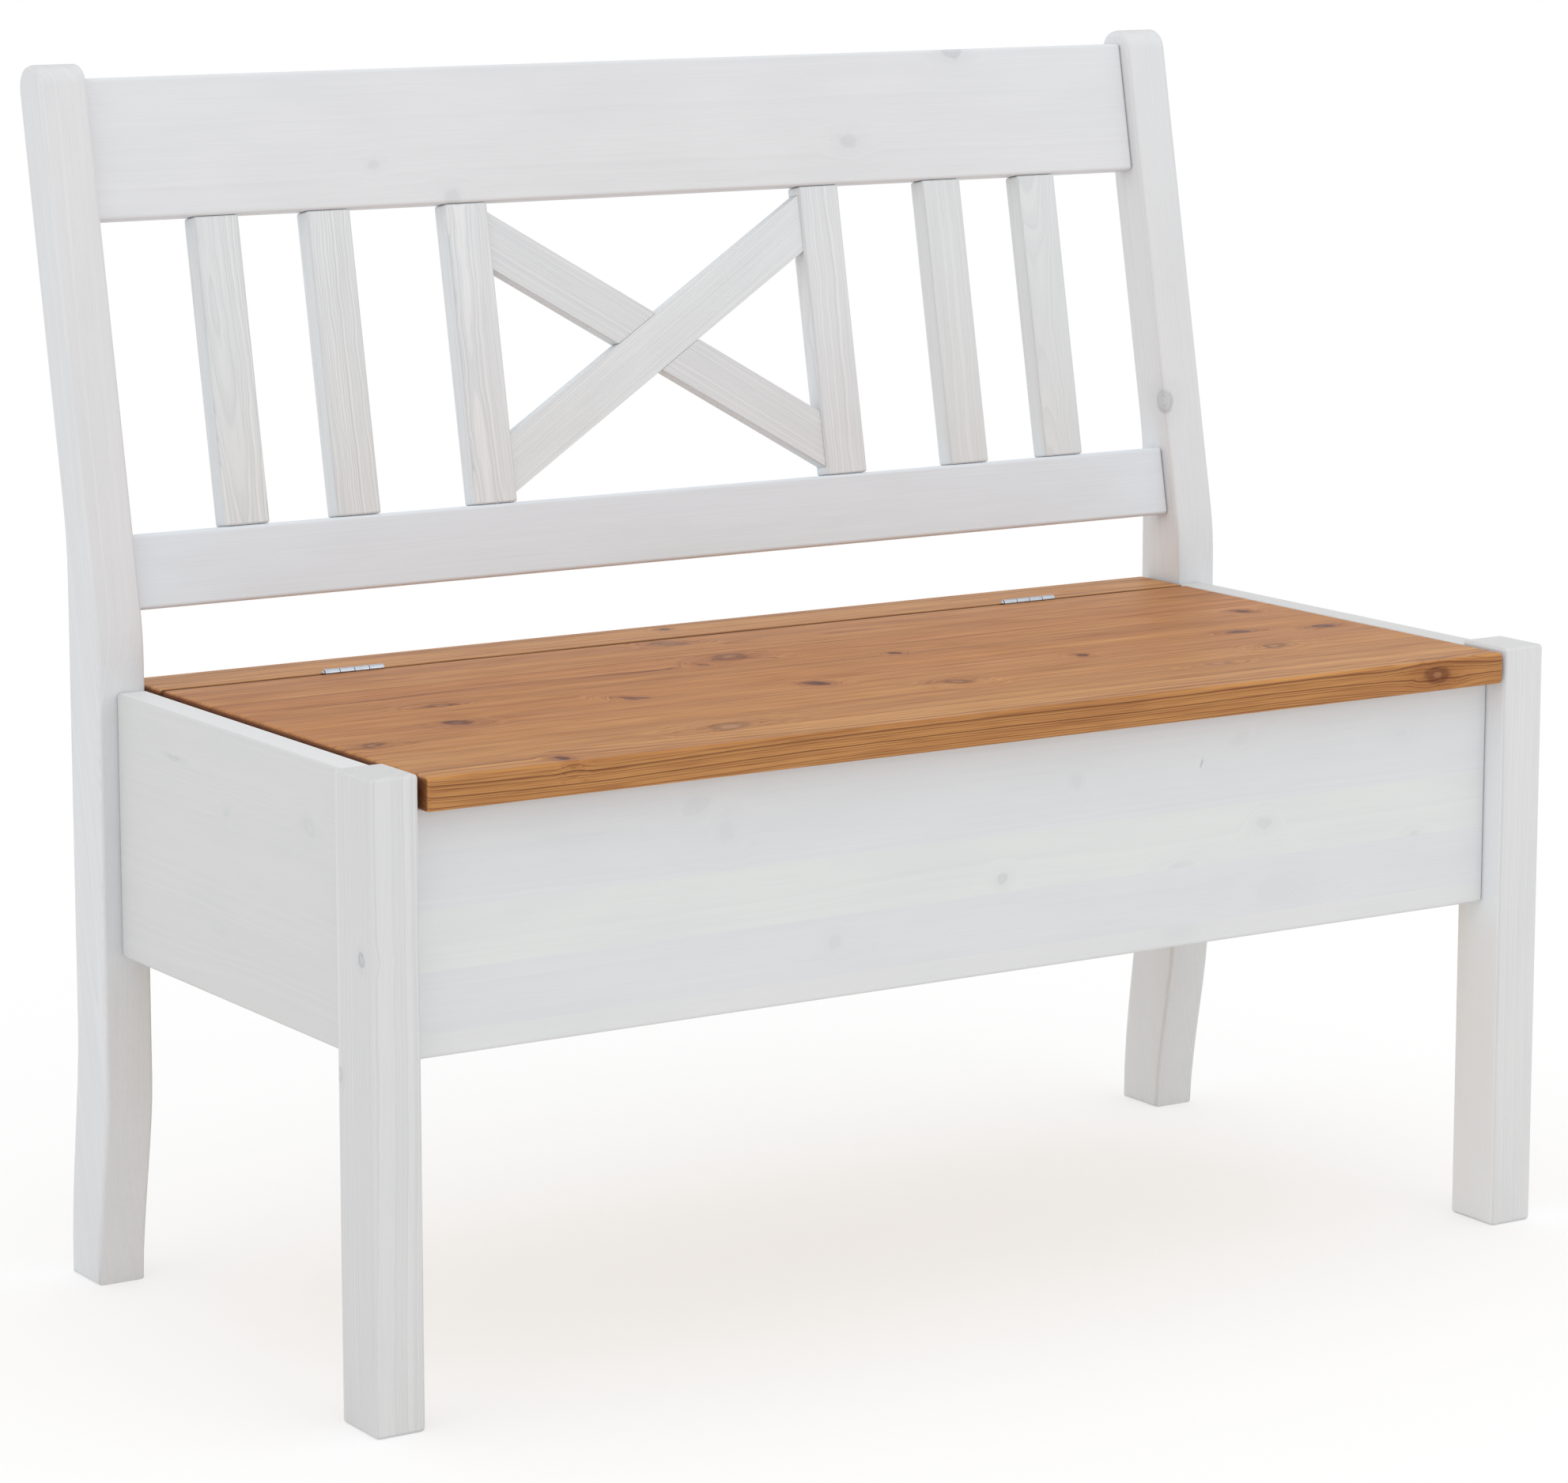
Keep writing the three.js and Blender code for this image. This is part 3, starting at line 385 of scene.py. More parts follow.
        pull = add(tree, VECTOR, [last["Point"], start], "SUBTRACT")
        return add(tree, VECTOR, [growing, pull], "ADD")

    def season(self, *stops):
        """A part of each year's growth, stronger in some years than in others."""
        band = add(self.tree, RAMP, [self.growth["Season"]], stops=stops)
        return add(self.tree, MATH, [band, self.growth["Strength"]], "MULTIPLY")

    def share(self, name, low, high):
        """Fibre, Streak or Cloud from 0 at one level of its noise to 1 at the other."""
        return add(self.tree, RANGE, [self.growth[name], low, high, 0.0, 1.0])

    def toward(self, direction):
        """How squarely the surface faces along or against a direction."""
        dot = add(self.tree, VECTOR, [self.here.outputs["Normal"], direction], "DOT_PRODUCT")
        return add(self.tree, MATH, [dot.outputs["Value"]], "ABSOLUTE")

    def facing(self, direction, low, high):
        """The same from 0 at one level to 1 at the other."""
        return add(self.tree, RANGE, [self.toward(direction), low, high, 0.0, 1.0])

    def arris(self):
        """One on rounded edges and zero on flat faces."""
        square = self.toward(self.along)
        for direction in (self.across, self.through):
            square = add(self.tree, MATH, [square, self.toward(direction)], "MAXIMUM")
        return add(self.tree, RANGE, [square, *ARRIS_LEVELS, 1.0, 0.0])


def new_material(name):
    material = bpy.data.materials.new(name)
    material.use_nodes = True
    tree = material.node_tree
    tree.nodes.clear()
    return material, tree


def new_timber(finish_name, node, along, across, facts):
    """A new material for a board, its tree, and the board's wood in it."""
    material, tree = new_material(f"{finish_name}_{node}")
    return material, tree, Timber(tree, node, along, across, **facts)


def chosen(name):
    """A colour from the sidebar, as a socket takes it."""
    return (*getattr(bpy.context.scene.bench_timber, name), 1.0)


def tinted(tree, colour, *tints):
    """A colour under tints: each is where it lies, its colour, and how strong it is there."""
    for mask, tint, strength in tints:
        factor = add(tree, MATH, [mask, strength], "MULTIPLY")
        tint = linear(tint) if isinstance(tint, str) else tint
        colour = add(tree, MIX, {"Factor": factor, "A": colour, "B": tint}, data_type="RGBA")
    return colour


def finish(material, tree, height, strength, depth, sockets):
    """Ends a material: its relief, and a shader with these sockets."""
    relief = add(tree, "ShaderNodeBump", {"Strength": strength, "Distance": depth, "Height": height})
    shader = add(tree, "ShaderNodeBsdfPrincipled", {"Normal": relief, **sockets})
    add(tree, "ShaderNodeOutputMaterial", {"Surface": shader})
    return material


GRAIN_HEIGHT = 0.3 * MM     # how far the rings stand out of a planed face

# The course of a year: how far through it, and how strong the late or early wood is

LATE = ((0, 0.7), (0.06, 0.0), (0.5, 0.0), (0.82, 0.4), (0.95, 1.0))
EARLY = ((0, 0.0), (0.12, 1.0), (0.5, 0.3), (0.7, 0.0))
GLAZED_LATE = ((0, 0.8), (0.06, 0.0), (0.8, 0.0), (0.94, 1.0))
GLAZED_EARLY = ((0, 0.0), (0.08, 1.0), (0.38, 0.9), (0.52, 0.0))


# White glazed pine: planed, stained with a thin white glaze and lacquered satin.
# The grain shows through as faint grey lines, each beside a paler band of soft wood,
# and the end grain is greyer. Faces towards the pale direction are painted paler, as
# painted light that lifts the shade on them, and with an edge given, the rounded edges
# are painted darker, as a painted shade line.

def white_glazed_pine(board, white="#DBDBDB", grain=0.35, relief=0.25, edge=0.0, pale=None):
    material, tree, wood = new_timber("white_glazed_pine", *board)
    late = wood.season(*GLAZED_LATE)
    early = wood.season(*GLAZED_EARLY)
    faint = 0.05 + 0.2 * grain
    tints = [
        (wood.share("Cloud", 0.4, 0.7), "#C6C9CC", 0.12 + 0.12 * grain),
        (wood.share("Streak", 0.5, 0.75), "#BFC1C4", faint),
        (early, "#F4F4F4", 0.6 * grain),
        (wood.share("Fibre", 0.45, 0.75), "#BCBDBF", faint),
        (late, chosen("glazed_latewood"), 0.36 * grain),
    ]
    # painted light: faces towards this direction are painted paler, to lift the shade that falls on them
    if pale:
        direction, amount = pale
        tints += [(wood.facing(direction, *FACE_LEVELS), "#F3F6F9", amount)]
    if wood.glue:
        tints += [(wood.glue, "#B4B8BD", 0.2)]
    if wood.core:
        tints += [
            (wood.halo, "#B8BCC2", 0.3), (wood.core, "#A6A9B0", 0.6), (wood.rim, "#74767C", 0.9),
            (wood.circles, "#85888F", 0.3), (wood.eye, "#D2D4D6", 0.5),
        ]
    # painted shade: the rounded edges are painted darker, as a thin shade line
    if edge:
        tints += [(wood.arris(), "#9B9DA0", edge)]
    tints += [(wood.facing(wood.along, 0.7, 0.9), "#C9CACC", 0.35)]
    ridge = add(tree, MATH, [late, -1.0, wood.growth["Fibre"]], "MULTIPLY_ADD")
    return finish(material, tree, ridge, relief, GRAIN_HEIGHT, {
        "Base Color": tinted(tree, wood.tone or linear(white), *tints),
        "Roughness": add(tree, RANGE, [wood.growth["Fibre"], 0.3, 0.7, 0.46, 0.58]),
        "IOR": 1.5, "Specular IOR Level": 0.4,
    })


# Honey stained pine: planed, stained brown and oiled to a satin sheen.
# The soft wood takes the stain in streaks, and the latewood, the knots and the end
# grain are dark. The front and back faces are painted darker, as painted shade, and
# the arrises of the seam are painted dark, as painted shade in the gap between lid and strip.

def honey_stained_pine(board, seam):
    material, tree, wood = new_timber("honey_stained_pine", *board)
    late = wood.season(*LATE)
    early = wood.season(*EARLY)
    # painted shade: the faces that look front and back are painted darker than the top
    front = wood.facing(BACKWARD, *FACE_LEVELS)
    lines = add(tree, MATH, [late, front], "MULTIPLY")
    pale = add(tree, MATH, [wood.depth, -1.0, 1.0], "MULTIPLY_ADD")
    eye = add(tree, MATH, [wood.eye, pale], "MULTIPLY")
    # painted shade: the arris of the seam is painted dark, as shade in the gap between lid and strip
    seam_shade = add(tree, RANGE, [wood.parts["Y"], seam[0] * MM, seam[1] * MM, 0.0, 1.0])
    colour = tinted(
        tree, wood.tone,
        (wood.share("Cloud", 0.42, 0.7), "#9A5A2C", 0.25),
        (wood.share("Streak", 0.5, 0.7), "#8C4F22", 0.42),
        (wood.share("Streak", 0.48, 0.26), "#DCA661", 0.3),
        (early, "#DBA45F", 0.2),
        (wood.share("Fibre", 0.48, 0.72), "#83461D", 0.55),
        (late, chosen("stained_latewood"), 0.75),
        # painted shade on the front and back faces
        (front, "#855A40", 0.3),
        (lines, "#4A1E0A", 0.6),
        (wood.glue, "#6A3416", 0.4),
        (wood.halo, "#7C3A18", 0.5),
        (wood.core, "#521C0C", 0.92),
        (wood.rim, "#340F06", 0.95),
        (wood.circles, "#421A10", 0.5),
        (eye, "#C08E66", 0.9),
        # painted shade in the seam
        (seam_shade, "#34140A", 0.85),
        (wood.facing(wood.along, 0.5, 0.9), "#54230F", 0.8),
    )
    height = add(tree, MATH, [wood.growth["Fibre"], 0.5, late], "MULTIPLY_ADD")
    rough = add(tree, RANGE, [wood.growth["Fibre"], 0.3, 0.7, 0.42, 0.54])
    return finish(material, tree, height, 0.2, GRAIN_HEIGHT, {
        "Base Color": colour, "Roughness": rough, "IOR": 1.47, "Specular IOR Level": 0.2,
    })


# Bare pine: planed and left without a finish, so it is pale and matt.

def bare_planed_pine(board):
    material, tree, wood = new_timber("bare_planed_pine", *board)
    late = wood.season(*LATE)
    colour = tinted(
        tree, linear("#DFC08E"),
        (wood.share("Streak", 0.45, 0.75), "#C9A067", 0.5),
        (late, "#B37E42", 0.6),
        (wood.share("Fibre", 0.45, 0.75), "#C0935A", 0.5),
        (wood.facing(wood.along, 0.6, 0.9), "#B08552", 0.6),
    )
    height = add(tree, MATH, [wood.growth["Fibre"], 0.6, late], "MULTIPLY_ADD")
    return finish(material, tree, height, 0.3, GRAIN_HEIGHT, {
        "Base Color": colour, "Roughness": 0.72, "IOR": 1.5, "Specular IOR Level": 0.3,
    })


# Zinc plated steel: rolled or drawn, then bright plated, so it is a cool grey
# with soft reflections and faint clouds in the plating.

PLATING_CLOUD = 5 * MM
DRAWN_LINE = 0.5 * MM       # width of the lines that drawing leaves
DRAWN_SHARE = 0.06          # their width as a share of their length
DRAWN_DEPTH = 0.05 * MM


def zinc_plated_steel(name):
    material, tree = new_material("zinc_plated_steel_" + name)
    here = add(tree, "ShaderNodeTexCoord").outputs["Object"]
    cloud = add(tree, NOISE, {"Vector": here, "Scale": 1 / PLATING_CLOUD, "Detail": 3.0})
    colour = tinted(tree, chosen("zinc"), (cloud, "#AEB6C0", 0.8))
    drawn = add(tree, VECTOR, [here, (DRAWN_SHARE, 1, 1)], "MULTIPLY")
    scratch = add(tree, NOISE, {"Vector": drawn, "Scale": 1 / DRAWN_LINE, "Detail": 2.0})
    rough = add(tree, RANGE, [scratch, 0.3, 0.7, 0.22, 0.34])
    return finish(material, tree, scratch, 0.15, DRAWN_DEPTH, {
        "Base Color": colour, "Metallic": 1.0, "Roughness": rough,
    })


def weld_group():
    """Joins the split corners of a CAD mesh, so that its curved faces shade as one."""
    tree = bpy.data.node_groups.new("weld_and_smooth", "GeometryNodeTree")
    for in_out in ("INPUT", "OUTPUT"):
        tree.interface.new_socket("Geometry", in_out=in_out, socket_type="NodeSocketGeometry")
    given = add(tree, "NodeGroupInput")
    bare = add(tree, "GeometryNodeRemoveAttribute", {"Geometry": given, "Name": "custom_normal"})
    merged = add(tree, "GeometryNodeMergeByDistance", {"Geometry": bare, "Distance": WELD_DISTANCE})
    angle = add(tree, "GeometryNodeInputMeshEdgeAngle")
    sharp = add(tree, "FunctionNodeCompare", [angle.outputs[0], SMOOTH_ANGLE], "LESS_THAN")
    faces = add(tree, "GeometryNodeSetShadeSmooth", [merged, True, True], domain="FACE")
    edges = add(tree, "GeometryNodeSetShadeSmooth", [faces, True, sharp], domain="EDGE")
    add(tree, "NodeGroupOutput", [edges])
    return tree


WELD = weld_group()


def soften(piece, arris, steps):
    """Rounds the sharp edges, if there is an arris, and keeps flat faces even."""
    if arris:
        soft = piece.modifiers.new("soft_arris", "BEVEL")
        soft.width = arris
        soft.segments = steps
        soft.limit_method = "ANGLE"
        soft.angle_limit = SMOOTH_ANGLE
    piece.modifiers.new("flat_faces", "WEIGHTED_NORMAL").keep_sharp = True


BOARD_ARRIS_STEPS = 3
STEEL_ARRIS_STEPS = 2


def dress(node, material, arris=0.0):
    """Gives a CAD board its material, and its curved faces one smooth shading."""
    board = NODES[node]
    board.data.materials.clear()
    board.data.materials.append(material)
    board.modifiers.new("weld", "NODES").node_group = WELD
    soften(board, arris, BOARD_ARRIS_STEPS)


def glaze(node, along, across, timber, arris=0.0, **look):
    """Dresses a board in the white glaze."""
    dress(node, white_glazed_pine((node, along, across, timber), **look), arris)


class BenchTimberSettings(bpy.types.PropertyGroup):
    slat_ring: FloatProperty(
        name="Slat ring width", description="Growth ring width in the slats, in millimetres",
        default=2.0, min=0.5, max=8,
    )
    board_ring: FloatProperty(
        name="Board ring width", description="Growth ring width in the boards, in millimetres",
        default=2.2, min=0.5, max=8,
    )
    glazed_latewood: FloatVectorProperty(
        name="Glazed latewood", description="Colour of the growth lines under the white glaze",
        default=linear("#A4A6A9")[:3], subtype="COLOR", min=0, max=1,
    )
    stained_latewood: FloatVectorProperty(
        name="Stained latewood", description="Colour of the growth lines in the stained seat",
        default=linear("#642F10")[:3], subtype="COLOR", min=0, max=1,
    )
    zinc: FloatVectorProperty(
        name="Zinc", description="Colour of the plating on hinges and screws",
        default=linear("#CCD2DA")[:3], subtype="COLOR", min=0, max=1,
    )


class BenchStageSettings(bpy.types.PropertyGroup):
    floor_radius: FloatProperty(
        name="Floor radius", description="Radius of the round floor",
        default=30.0, subtype="DISTANCE", unit="LENGTH",
    )
    overhead_power: FloatProperty(
        name="Overhead light", description="Power of the soft light above the bench",
        default=10.0, unit="POWER",
    )
    front_power: FloatProperty(
        name="Front light", description="Power of the soft light in front of the bench",
        default=20.0, unit="POWER",
    )
    side_power: FloatProperty(
        name="Side light", description="Power of the soft light at the left",
        default=14.0, unit="POWER",
    )
    world_strength: FloatProperty(
        name="Room light", description="Strength of the even light from all round",
        default=0.95,
    )
    camera_place: FloatVectorProperty(
        name="Camera place", description="Where the camera stands",
        default=(-2.107, -3.2592, 1.1087), subtype="XYZ", unit="LENGTH",
    )


# Knots of the left leg and the right post, from the middle of the board: up, back,
# half height, half width, tilt, depth, and then to the left and half that size

LEG_KNOTS = ((102.5, -11.5, 4.5, 3.5, 0, 0.7, 19, 14), (17.5, 21, 4.5, 3.5, 0, 0.4, 19, 14))
POST_KNOTS = ((141, -62, 9, 8, 0, 0.6, 19, 8),)

# Each upright's white, how much paler its sides are painted, as painted light that lifts the shade on them,
# and its timber

UPRIGHTS = {
    "front_leg_left": ("#D3D3D3", 0.0, dict(seed=3.1, pith=(26, 30), knots=LEG_KNOTS)),
    "front_leg_right": ("#D8D8D8", 0.8, dict(seed=7.4, pith=(-30, 22))),
    "back_post_left": ("#DBDCDE", 0.0, dict(seed=11.9, pith=(0, -55))),
    "back_post_right": ("#DBDDDF", 0.3, dict(seed=15.2, pith=(-20, -62), knots=POST_KNOTS)),
}


class BENCH_OT_uprights(bpy.types.Operator):
    """Finish the front legs and the back posts"""
    bl_idname = "bench.uprights"
    bl_label = "Legs and Posts"

    def execute(self, context):
        for node, (white, painted_side_light, facts) in UPRIGHTS.items():
            along, grain = (UP, 0.3) if "leg" in node else (UP_THE_BACK, 0.2)
            timber = dict(ring_width=2.0, ripple=1.2, **facts)
            # painted light: the faces that look to the side are painted paler by this amount
            glaze(node, along, BACKWARD, timber, white=white, grain=grain, pale=(ACROSS, painted_side_light))
        return {"FINISHED"}


# Staves of the panels from the bottom up: where each ends, from the panel's middle,
# its tone, and where its pith lies. Then their knots: along, up, half length,
# half width, tilt, depth

PANEL_STAVES = (
    (-71, "#DADBDB", (10, 60)), (-29, "#D9DADC", (-30, 50)), (13, "#DBDDDC", (20, 80)),
    (90, "#D8DADC", (0, 70)),
)
PANEL_KNOTS = (
    (-242, 65, 11, 6, 20, 0.1), (-217, 43, 6, 8, 0, 0.1), (84, 49, 5, 6, 0, 0.1),
    (232, 63, 10, 5, 10, 0.08), (19, -17, 4.5, 4, 0, 0.38), (256, -2, 6, 4.5, 15, 0.22),
    (180, -26, 12, 4, 0, 0.12), (-127, -46, 5.5, 5.5, 0, 0.18), (198, 51, 0.6, 2.4, -15, 0.9),
    (402, -28, 6, 4, 0, 0.18), (385, 53, 7, 3, 0, 0.1), (270, -54, 20, 11, 0, 0.06),
    (180, -77, 20, 7, 0, 0.07),
)
SIDE_STAVES = ((-41, "#D1D2D1", (15, 70)), (100, "#D2D3D2", (-20, 60)))
SIDE_KNOTS = (
    (-120, 50, 9, 6, 25, 0.18), (6, 40, 4, 3, -30, 0.15), (89, 65.5, 10, 1.5, 0, 0.4),
    (22, -46, 16, 6, 10, 0.08),
)

# Each panel: its seed, the way of its grain, how much paler its top edge is painted, as painted light on the
# face that looks up, and its staves and knots. The two that the photograph doesn't show have no knots

PANELS = {
    "front_panel": (21.3, ACROSS, 0.0, PANEL_STAVES, PANEL_KNOTS),
    "back_panel": (26.3, ACROSS, 0.0, PANEL_STAVES, ()),
    "side_panel_left": (31.3, BACKWARD, 0.38, SIDE_STAVES, SIDE_KNOTS),
    "side_panel_right": (36.3, BACKWARD, 0.0, SIDE_STAVES, ()),
}

# The glaze lies thick on the panels and rails, so little of their grain shows

THICK_GLAZE = dict(grain=0.08, relief=0.08)


class BENCH_OT_panels(bpy.types.Operator):
    """Finish the panels of the seat box"""
    bl_idname = "bench.panels"
    bl_label = "Box Panels"

    def execute(self, context):
        for node, (seed, along, edge, staves, knots) in PANELS.items():
            timber = dict(seed=seed, ring_width=3.2, staves=staves, knots=knots)
            # painted light: the top faces are painted paler by the given amount
            glaze(node, along, UP, timber, pale=(UP, edge), **THICK_GLAZE)
        return {"FINISHED"}


# Knots of the crest rail, from its middle: along, up, half length, half width, tilt,
# depth. Then each rail's white and its timber

CREST_KNOTS = (
    (302, 51, 9, 6, 0, 0.4), (-237, -20, 5, 3, 0, 0.2), (-173, -48, 7, 6, 0, 0.25),
    (193, -19, 8, 5, 0, 0.25),
)
RAILS = {
    "crest_rail": ("#DEE0E3", dict(seed=41.7, pith=(-60, 55), ring_width=3.4, knots=CREST_KNOTS)),
    "lower_back_rail": ("#DDE3E9", dict(seed=47.7, pith=(40, 45), ring_width=3.0)),
}

# Each slat's and upright's pith, and how strongly its grain shows

SLATS = {
    "back_slat_1": ((-9, 15), 0.8), "back_slat_2": ((-30, 10), 0.75),
    "back_slat_3": ((-40, 25), 0.35), "back_slat_4": ((-12, 34), 0.3),
    "back_upright_left": ((-7, 14), 0.8), "back_upright_right": ((-48, 8), 0.6),
}
SLAT_SEED = 51.3
SLAT_SEED_STEP = 3.7

BRACE_WIDTH = 38 * MM
BRACE_ARRIS = 1.2 * MM
BRACE_SEED = 77.3
BRACE_PITH = (-35, 24)
BRACES = ((1, "cross_brace_front", "#DEE3E6"), (-1, "cross_brace_rear", "#D9DDE0"))


class BENCH_OT_backrest(bpy.types.Operator):
    """Finish the rails, slats, uprights and crossed brace"""
    bl_idname = "bench.backrest"
    bl_label = "Backrest"

    def execute(self, context):
        for node, (white, facts) in RAILS.items():
            glaze(node, ACROSS, UP_THE_BACK, facts, white=white, **THICK_GLAZE)
        ring = context.scene.bench_timber.slat_ring
        for index, (node, (pith, grain)) in enumerate(SLATS.items()):
            seed = SLAT_SEED + SLAT_SEED_STEP * index
            timber = dict(seed=seed, pith=pith, ring_width=ring, sway=30, ripple=5)
            white = "#D9DDDF" if "slat" in node else "#DCE0E3"
            # painted light: the side faces between the slats are painted paler to lift their shade, and
            # painted shade: the rounded edges are painted darker
            look = dict(white=white, grain=grain, relief=0.4, edge=0.15, pale=(ACROSS, 0.22))
            glaze(node, UP_THE_BACK, ACROSS, timber, **look)
        lo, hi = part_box("cross_brace_front")
        rise = (hi.z - lo.z) / math.cos(LEAN) - BRACE_WIDTH
        slope = math.atan2(rise, hi.x - lo.x)
        for sign, node, white in BRACES:
            along = ACROSS * math.cos(slope) + UP_THE_BACK * sign * math.sin(slope)
            pith = (BRACE_PITH[0], BRACE_PITH[1] * sign)
            timber = dict(seed=BRACE_SEED + sign, pith=pith, ripple=1.2)
            # painted shade: the rounded edges are painted darker
            look = dict(white=white, grain=0.45, relief=0.4, edge=0.2)
            glaze(node, along, UP_THE_BACK, timber, BRACE_ARRIS, **look)
        return {"FINISHED"}


class BENCH_OT_inside(bpy.types.Operator):
    """Finish the floor, ledgers, battens, dowels and cleats"""
    bl_idname = "bench.inside"
    bl_label = "Inside of the Box"

    def execute(self, context):
        runs = {"bottom_board": ACROSS, "ledger_front": ACROSS, "ledger_back": ACROSS}
        for side in SIDES:
            runs["ledger_" + side] = BACKWARD
            runs["lid_cleat_" + side] = BACKWARD
            for end in ("front", "back"):
                runs[f"corner_batten_{end}_{side}"] = UP
                for level in (1, 2):
                    runs[f"panel_dowel_{end}_{side}_{level}"] = BACKWARD
        draw = random.Random(5)
        for node, along in runs.items():
            across = BACKWARD if along is ACROSS else ACROSS
            pith = (draw.uniform(-40, 40), draw.uniform(15, 50))
            timber = dict(seed=draw.uniform(100, 200), pith=pith)
            dress(node, bare_planed_pine((node, along, across, timber)))
        return {"FINISHED"}


# Staves of the lid from front to back: where each ends, from the middle of its depth,
# its tone, and where its pith lies. Then its knots: along, back, half length,
# half width, tilt, depth. The front one shows in the front edge

LID_STAVES = (
    (-162, "#C78E52", (24, -72)), (-118, "#C18749", (48, -22)), (-69.5, "#C18547", (-50, -18)),
    (-20.5, "#BE8044", (60, -25)), (29, "#BF8043", (-44, -30)), (75.5, "#BB7D42", (36, -46)),
    (121, "#BC7C44", (-20, -46)), (164.5, "#BE8147", (10, -90)), (201, "#BB7E46", (42, -40)),
)
LID_KNOTS = (
    (-45, 180, 15, 8, -35, 0.55), (-39, 104, 17, 11, 20, 0.5), (-75, 92, 4, 4, 0, 0.6),
    (-48, -31, 6, 9, 40, 0.95), (-190, -17, 13, 5, -50, 0.75), (-325, 36, 13, 7, -10, 0.5),
    (-349, -30, 10, 8, -35, 0.8), (-441, -75, 9, 7, 15, 0.55), (-355, -186, 5, 6, 20, 1.0, 12, 5),
    (76, 49, 5, 4, -30, 0.9), (45, -81, 8, 11, 50, 0.45), (190, -36, 4.5, 5, 0, 0.9),
    (422, 67, 5, 7, 30, 0.95), (358, -13, 9, 5, -15, 0.9), (431, -26, 9, 6, -15, 0.9),
    (255, -121, 14, 7, 5, 0.35), (340, -80, 12, 7, 25, 0.4), (-195, -147, 20, 12, 20, 0.4),
    (402, -201, 13, 9, 0, 0.6, 1, 6),
)
STRIP_STAVES = ((-29, "#CB9156", (30, -50)), (60, "#CB9156", (59, -50)))
STRIP_KNOTS = ((-14, 7.5, 4, 4, 0, 0.85),)
LID = dict(seed=61.3, sway=14, ripple=1.3, staves=LID_STAVES, knots=LID_KNOTS)
STRIP = dict(
    seed=67.9, ring_width=2.6, sway=12, ripple=1.2, staves=STRIP_STAVES, knots=STRIP_KNOTS,
)

# Where the arris of the seam begins and ends, back from each board's middle: it is painted dark there, as
# painted shade in the gap

LID_SEAM = (196.9, 198.9)
STRIP_SEAM = (-26.6, -28.6)


class BENCH_OT_seat(bpy.types.Operator):
    """Finish the hinged lid and the fixed strip behind it"""
    bl_idname = "bench.seat"
    bl_label = "Seat"

    def execute(self, context):
        lid = dict(ring_width=context.scene.bench_timber.board_ring, **LID)
        for node, timber, seam in (("seat_lid", lid, LID_SEAM), ("seat_back_strip", STRIP, STRIP_SEAM)):
            dress(node, honey_stained_pine((node, ACROSS, BACKWARD, timber), seam))
        return {"FINISHED"}


# Hinges: each leaf is cut from sheet, drilled for two screws and rolled round the
# pin in knuckles, which the two leaves take in turn

KNUCKLES = 4
KNUCKLE_GAP = 0.5 * MM
SHEET = 1.2 * MM
LEAF_MIDDLE = 0.75 * MM         # from the hinge line to the middle of the sheet
FLAT_TOP = -3.3 * MM            # where the flat of the leaf ends, below the pin
ROLL_RADIUS = 2.1 * MM          # of the middle of the sheet, round the pin
ROLL_TURN = math.radians(238)
ROLL_STEPS = 24
BEND_STEPS = 6
ROUND_STEPS = 24
TURNS = [2 * math.pi * step / ROUND_STEPS for step in range(ROUND_STEPS)]      # once round
SCREW_FROM_MIDDLE = 13 * MM
SCREW_BELOW_PIN = 11 * MM
HOLE_RADIUS = 2.9 * MM
LEAF_ARRIS = 0.3 * MM
PIN_RADIUS = 1.2 * MM
PIN_HEAD = 1.9 * MM             # radius of the head
PIN_HEAD_LENGTH = 1.0 * MM
PIN_ARRIS = 0.1 * MM
DOME_STEPS = 6

# Where the flat bends into the roll: a curve's four control points, out and up

BENT = (
    (LEAF_MIDDLE, FLAT_TOP), (LEAF_MIDDLE, FLAT_TOP + 1.1 * MM), (ROLL_RADIUS, -1.3 * MM),
    (ROLL_RADIUS, 0.0),
)


def finish_mesh(shape, name, material, node):
    """A piece from a bmesh, on the body of the CAD piece that it stands for."""
    bmesh.ops.recalc_face_normals(shape, faces=shape.faces)
    mesh = bpy.data.meshes.new(name)
    shape.to_mesh(mesh)
    shape.free()
    mesh.shade_smooth()
    mesh.materials.append(material)
    piece = bpy.data.objects.new(name, mesh)
    bpy.context.scene.collection.objects.link(piece)
    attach(piece, NODES[node]["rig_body"])
    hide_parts(node)
    return piece


def sheet_path():
    """The middle of the sheet from the flat to the end of the roll, as points out and up."""
    path = []
    for step in range(1, BEND_STEPS + 1):
        t = step / BEND_STEPS
        weights = ((1 - t) ** 3, 3 * t * (1 - t) ** 2, 3 * t * t * (1 - t), t ** 3)
        path.append([sum(w * point[i] for w, point in zip(weights, BENT)) for i in (0, 1)])
    for step in range(1, ROLL_STEPS + 1):
        turn = ROLL_TURN * step / ROLL_STEPS
        path.append([ROLL_RADIUS * math.cos(turn), ROLL_RADIUS * math.sin(turn)])
    return path


def hinge_middle(side):
    """The middle of the hinge line, and half the length of a leaf."""
    lo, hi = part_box(f"hinge_{side}_fixed_leaf")
    pin_lo, pin_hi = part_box(f"hinge_{side}_pin")
    middle = (pin_lo + pin_hi) / 2
    middle.x = (lo.x + hi.x) / 2
    return middle, (hi.x - lo.x) / 2


